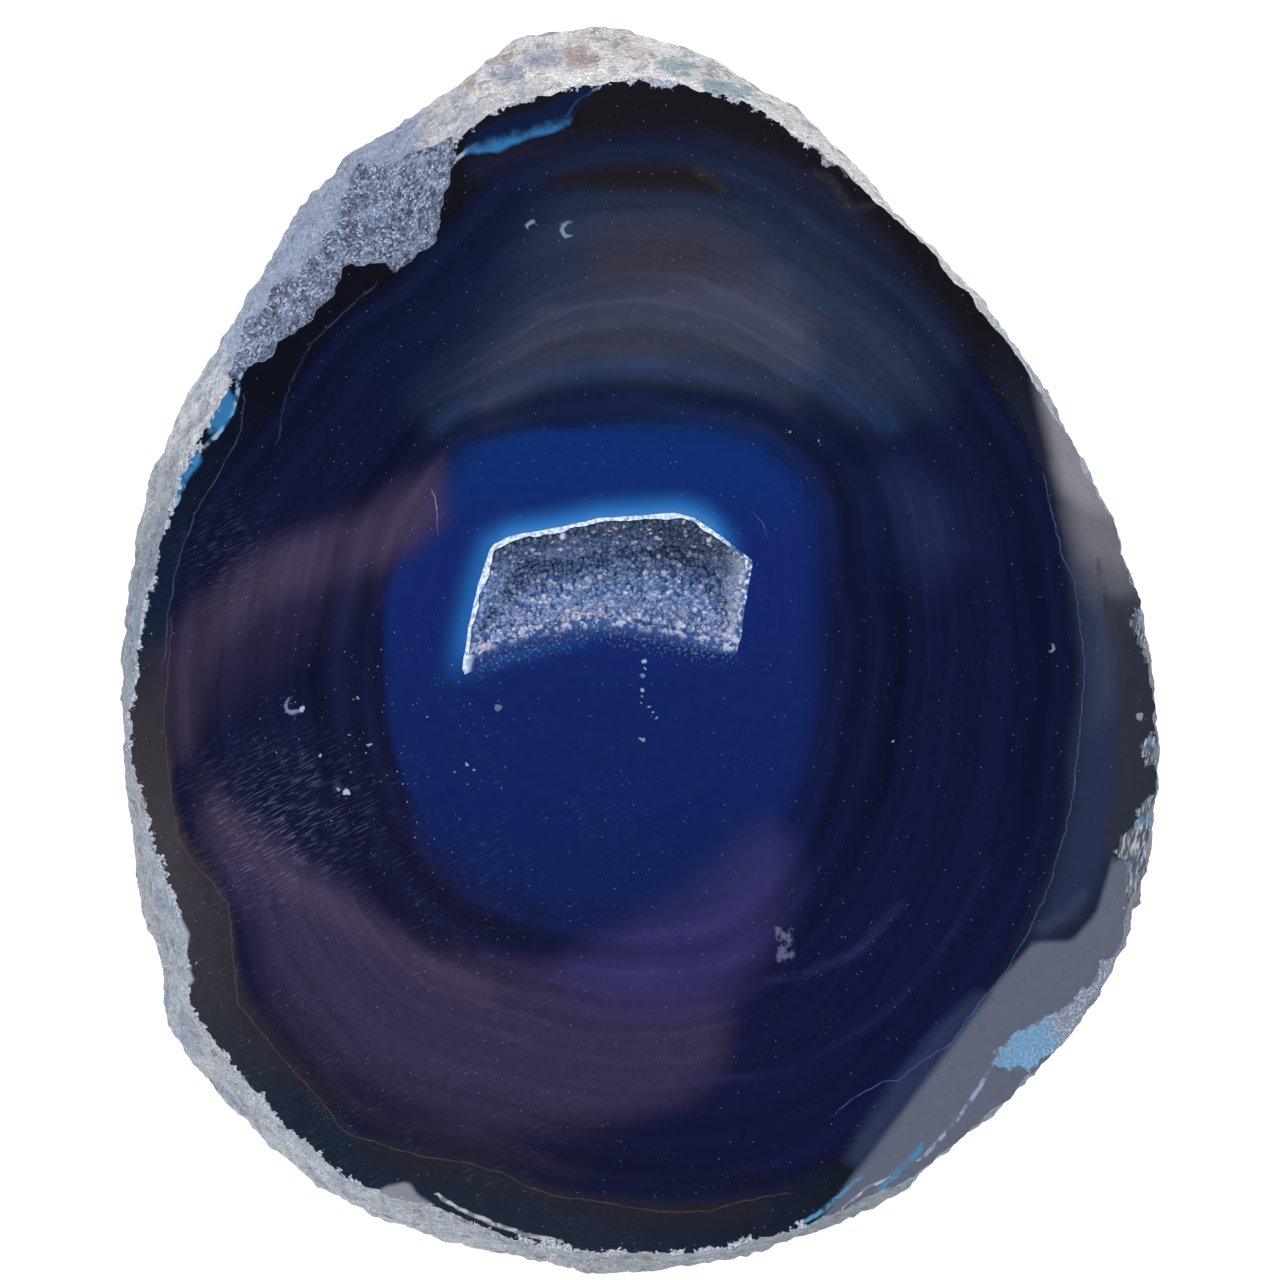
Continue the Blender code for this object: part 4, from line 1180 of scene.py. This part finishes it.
def natural_rind():
    """Rough rind: white to grey, whitest at the top partly as painted light, with lavender, tan and teal
    spots and dark grains.
    """
    rind = Finish("natural_rind")
    x, y, z = rind.axes()
    slow = rind.noise(11, 2.0, 0.55, 1.0)
    quick = rind.noise(2.4, 2.0, 0.65, 2.0).step(0.3, 0.7)
    fine = rind.noise(0.42, 2.0, 0.75, 7.0).step(0.3, 0.7)
    patches = rind.noise(5.0, 2.0, 0.6, 3.0)
    cracks = rind.noise(1.5, 3.0, 0.72, 6.0)
    uneven = slow - 0.5
    # The colours round the rind are partly painted light: whitest at the top, where the light falls.
    colour = rind.ramp(turn_of(rind, x, y) + uneven * 0.12, round_stops(RIND_COLOURS_AND_LIGHT))
    deep = (z + uneven * 40).step(43.0, 27.0, 0.85)
    colour = rind.blend(deep, colour, rind.blend(patches, shade(168, 178, 196), shade(214, 216, 222)))
    colour = rind.tint(colour, 0.73 + quick * 0.24 + fine * 0.5)
    lilac = patches.step(0.54, 0.64, 0.45)
    colour = rind.blend(lilac, colour, rind.tint(shade(156, 166, 204), 0.6 + fine * 0.6))
    stained = rind.node("CombineXYZ", inputs={0: x + quick * 2 - 1, 1: y + patches * 4 - 2, 2: 0.0})
    for stain_x, stain_y, radius, stain in RIND_STAINS:
        inside = rind.spot(stained, stain_x, stain_y, radius, radius * 0.4, 0.7)
        colour = rind.blend(inside, colour, rind.tint(shade(*stain), 0.7 + fine * 0.5))
    tan = (slow + patches * -0.5).step(0.33, 0.41, 0.25)
    colour = rind.blend(tan, colour, rind.tint(shade(196, 170, 148), 0.6 + fine * 0.6))
    teal = (slow * -1 + patches).step(0.2, 0.3, 0.5)
    colour = rind.blend(teal, colour, shade(126, 176, 190))
    colour = rind.blend(cracks.step(0.46, 0.36, 0.45), colour, shade(92, 92, 106))
    return rind.surface(
        Base_Color=colour, Roughness=0.8, Normal=rind.bump(cracks + fine * 0.5, 0.8))


def sugary_quartz():
    """Broken quartz of the patch, like fine sugar, with painted glints on some grains."""
    sugar = Finish("sugary_quartz")
    grains = sugar.cells(0.24)
    facet = sugar.lot(grains)
    coarse = sugar.lot(sugar.cells(0.6))
    slow = sugar.noise(2.5, 3.0, 0.6, 1.0)
    tone = facet * 0.65 + coarse * 0.35
    colour = sugar.blend(tone.step(0.15, 0.85), shade(42, 50, 80), shade(150, 165, 197))
    colour = sugar.blend(slow.step(0.5, 0.68, 0.35), colour, shade(168, 186, 216))
    colour = sugar.blend(slow.step(0.46, 0.34, 0.35), colour, shade(80, 88, 118))
    # Painted glints: some grains are painted near white.
    painted_glints = facet.step(0.72, 0.82)
    colour = sugar.blend(painted_glints * 0.6, colour, shade(206, 216, 238))
    return sugar.surface(
        Base_Color=colour, Roughness=0.5 - painted_glints * 0.25,
        Normal=sugar.bump(tone - grains, 0.2))


def lace(finish):
    """Lacy network at the south edge of the hollow: the dark gaps in it, and its threads."""
    web = finish.noise(0.8, 3.0, 0.7, 3.0)
    return web.step(0.47, 0.4), web.step(0.5, 0.58)


def quartz_crystal():
    """Small grey-blue quartz points, each of its own shade, paler towards the south, with painted shadow
    under the north rim.
    """
    quartz = Finish("quartz_crystal")
    x, y, _ = quartz.axes()
    tone = quartz.attribute("tone")
    uneven = quartz.noise(2.6, seed=1.0)
    south = y + (x + SOUTH_MIDDLE) * (x + SOUTH_MIDDLE) * SOUTH_BEND
    colour = quartz.blend(tone, shade(58, 92, 154), shade(162, 185, 224))
    # Painted shadow: the crystals just under the north rim of the hollow are painted dark.
    rim_shadow = (south + uneven * 3).step(10.2, 13.4, 0.85)
    colour = quartz.blend(rim_shadow, colour, shade(28, 48, 76))
    colour = quartz.blend(tone.step(0.9, 0.96, 0.7), colour, shade(216, 214, 226))
    right_rim = (x + y * -0.1 + uneven * 2).step(8.2, 10.2, 0.7)
    colour = quartz.blend(right_rim, colour, shade(176, 186, 208))
    near_edge = (south + uneven * 3).step(7.0, 4.0)
    pink = quartz.blend(quartz.noise(1.5, seed=5.0), shade(150, 156, 190), shade(226, 212, 218))
    dark_gaps, network = lace(quartz)
    colour = quartz.blend(near_edge * dark_gaps * 0.6, colour, shade(34, 58, 98))
    colour = quartz.blend(near_edge * network * 0.75, colour, pink)
    dust = quartz.noise(0.4, 3.0, 0.6, 2.0)
    return quartz.surface(
        Base_Color=quartz.tint(colour, 0.75 + dust * 0.5), Roughness=0.3, IOR=1.54,
        Normal=quartz.bump(dust, 0.05))


def sawn_quartz():
    """The sawn edge of the crust: white quartz, and blue with pale roots at the south."""
    quartz = Finish("sawn_quartz")
    x, y, _ = quartz.axes()
    grain = quartz.noise(0.5, 4.0, 0.65, 1.0)
    white = quartz.blend(grain.step(0.35, 0.6), shade(124, 156, 200), shade(222, 230, 244))
    north = y + (x + SOUTH_MIDDLE) * (x + SOUTH_MIDDLE) * SOUTH_BEND
    blue = quartz.blend((north + grain).step(1.2, 3.2), shade(19, 36, 97), shade(44, 82, 138))
    root_colour, root_share = fuzzy_roots(quartz, grain)
    blue = quartz.blend(root_share, blue, root_colour)
    _, network = lace(quartz)
    blue = quartz.blend(network * north.step(1.3, 2.4) * 0.85, blue, shade(190, 188, 208))
    rim = (y + grain * 2).step(4.0, 6.0) + (x - y * 0.2 + grain).step(-15.6, -16.6)
    fuzzy = 1 - x.step(8.4, 9.4) * grain.step(0.64, 0.48)
    colour = quartz.blend(rim.math("MINIMUM", 1.0) * fuzzy, blue, white)
    return quartz.surface(Base_Color=colour, Roughness=0.25, Normal=quartz.bump(grain, 0.06))


def hidden_wall():
    """Plain dark stone behind the crust."""
    wall = Finish("hidden_wall")
    grain = wall.noise(2.0)
    colour = wall.blend(grain, shade(30, 40, 80), shade(60, 76, 120))
    return wall.surface(Base_Color=colour, Roughness=0.6)


def pale_floor():
    """The pale floor."""
    floor = Finish("pale_floor")
    grain = floor.noise(40.0)
    colour = floor.blend(grain, shade(250, 250, 250), shade(254, 254, 254))
    return floor.surface(
        Base_Color=colour, Roughness=0.9, Emission_Color=(1, 1, 1, 1), Emission_Strength=FLOOR_GLOW)


def mark_face(stone):
    """Store on the stone's mesh the values that the bands, zones and lines follow."""
    mesh = stone.data
    places = np.empty(len(mesh.vertices) * 3)
    mesh.vertices.foreach_get("co", places)
    places = places.reshape(-1, 3)
    x = places[:, 0] / MM - CENTRING[0]
    y = places[:, 1] / MM - CENTRING[1]
    angle = np.arctan2(y - BAND_CENTRE[1], x - BAND_CENTRE[0])
    radius = np.hypot(x - BAND_CENTRE[0], y - BAND_CENTRE[1]) * MM
    limits = [
        radius_at(outline_radii(outline, BAND_CENTRE), angle)
        for outline in (CRUST_RIM, CORE_OUTLINE, LINE_OUTLINE, FACE_OUTLINE)]
    ring = np.zeros(len(radius))
    for inner, outer in zip(limits[:-1], limits[1:]):
        ring += np.clip((radius - inner) / (outer - inner), 0, 1)
    values = {
        "ring": ring,
        "core": depth_inside(x, y, CORE_OUTLINE),
        "halo": -depth_inside(x, y, CRUST_RIM),
        "edge": depth_inside(x, y, FACE_OUTLINE),
        "flake": np.maximum.reduce([depth_inside(x, y, flake) for flake in FLAKES]),
        "chip": chip_depth(x, y)[0],
    }
    for name, look in SOFT_COLOURS.items():
        if "outline" in look:
            values[name] = depth_inside(x, y, look["outline"])
        else:
            values[name] = look["half_width"] - path_distance(x, y, look["path"])
    for layer, lines in enumerate(THIN_LINES):
        reaches = np.array([path_distance(x, y, line[0]) for line in lines])
        nearest = reaches.argmin(axis=0)
        offsets = np.array([line_offset(x, y, line[0]) for line in lines])
        name = f"line_{layer}"
        values[name] = np.take_along_axis(offsets, nearest[None], 0)[0]
        values[name + "_half_width"] = np.array([line[1] for line in lines])[nearest]
        values[name + "_broken"] = np.array([line[4] for line in lines])[nearest]
        inks = np.array([(*shade(*line[2])[:3], line[3]) for line in lines])
        paint = mesh.attributes.new(name + "_colour", "FLOAT_COLOR", "POINT")
        paint.data.foreach_set("color", inks[nearest].ravel().astype(np.float32))
        values["line_reach"] = np.minimum(values.get("line_reach", FAR_AWAY), reaches.min(axis=0))
    for start in range(0, len(STORED), 3):
        names = STORED[start:start + 3]
        packed = np.zeros((len(x), 3), np.float32)
        for axis, name in enumerate(names):
            packed[:, axis] = values[name]
        layer = mesh.attributes.new(f"face_{start // 3}", "FLOAT_VECTOR", "POINT")
        layer.data.foreach_set("vector", packed.ravel())


def shade_piece(piece, angle):
    """Smooth shading, with edges sharper than an angle in degrees kept sharp."""
    piece.data.shade_smooth()
    piece.data.set_sharp_from_angle(angle=math.radians(angle))


def build_stone(finishes):
    """The stone: nodule, polish, broken patch and pocket of the hollow."""
    stone = whole_nodule()
    stone.data.materials.append(finishes["rind"])
    polish = height_block(
        "polish_block", (-58, -68), (58, 68), FACE_SPACING, polished_heights, facet_creases())
    cut_away(stone, polish, finishes["agate"])
    patch = height_block("patch_block", (-60, 22), (-14, 68), PATCH_SPACING, patch_heights)
    cut_away(stone, patch, finishes["sugar"])
    pocket = height_block("pocket_block", (-21, -6), (14, 16), HOLLOW_SPACING, pocket_heights)
    cut_away(stone, pocket, finishes["wall"])
    mark_face(stone)
    shade_piece(stone, CREASE_ANGLE)
    return stone


# Camera, light and floor

def build_camera():
    """The camera looks straight down on the face, with the frame of the photograph."""
    data = bpy.data.cameras.new("camera")
    data.sensor_width = SENSOR
    data.lens = SENSOR * CAMERA_HEIGHT / FRAME_WIDTH
    camera = bpy.data.objects.new("camera", data)
    camera.location = (FRAME_MIDDLE[0] * MM, FRAME_MIDDLE[1] * MM, THICKNESS + CAMERA_HEIGHT)
    bpy.context.scene.collection.objects.link(camera)
    bpy.context.scene.camera = camera


def add_light(name, azimuth, elevation, distance, size, power, colour=(1, 1, 1)):
    """A soft panel that shines on the stone from a direction, in degrees from +X."""
    data = bpy.data.lights.new(name, "AREA")
    data.shape = "RECTANGLE"
    data.size, data.size_y = size
    data.energy = power
    data.color = colour
    light = bpy.data.objects.new(name, data)
    turn, rise = math.radians(azimuth), math.radians(elevation)
    away = Vector((math.cos(turn) * math.cos(rise), math.sin(turn) * math.cos(rise), math.sin(rise)))
    light.location = away * distance + Vector((0, 0, THICKNESS))
    light.rotation_mode = "QUATERNION"
    light.rotation_quaternion = away.to_track_quat("Z", "Y")
    bpy.context.scene.collection.objects.link(light)


def build_lights():
    """Plain soft light from all round."""
    world = bpy.data.worlds.new("studio")
    world.use_nodes = True
    world.node_tree.nodes["Background"].inputs["Color"].default_value = WORLD_LIGHT
    bpy.context.scene.world = world
    for name, azimuth, elevation, size, power in PANELS:
        add_light(name, azimuth, elevation, 1.0, size, power, PANEL_COLOUR)


def build_floor():
    """A pale floor."""
    bm = bmesh.new()
    bmesh.ops.create_grid(bm, x_segments=1, y_segments=1, size=2)
    floor = new_piece("floor", bm)
    floor.data.materials.append(pale_floor())


def build_agate():
    """The dressed stone and its crust."""
    finishes = {
        "rind": natural_rind(),
        "agate": polished_agate(),
        "sugar": sugary_quartz(),
        "wall": hidden_wall(),
        "crystal": quartz_crystal(),
        "sawn_quartz": sawn_quartz(),
    }
    stone = build_stone(finishes)
    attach(stone, "root")
    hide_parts("agate_nodule")
    crust = build_crust(finishes)
    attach(crust, "root")
    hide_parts("quartz_druse")


bpy.context.scene.view_settings.view_transform = "Standard"
build_camera()
build_lights()
build_floor()
build_agate()
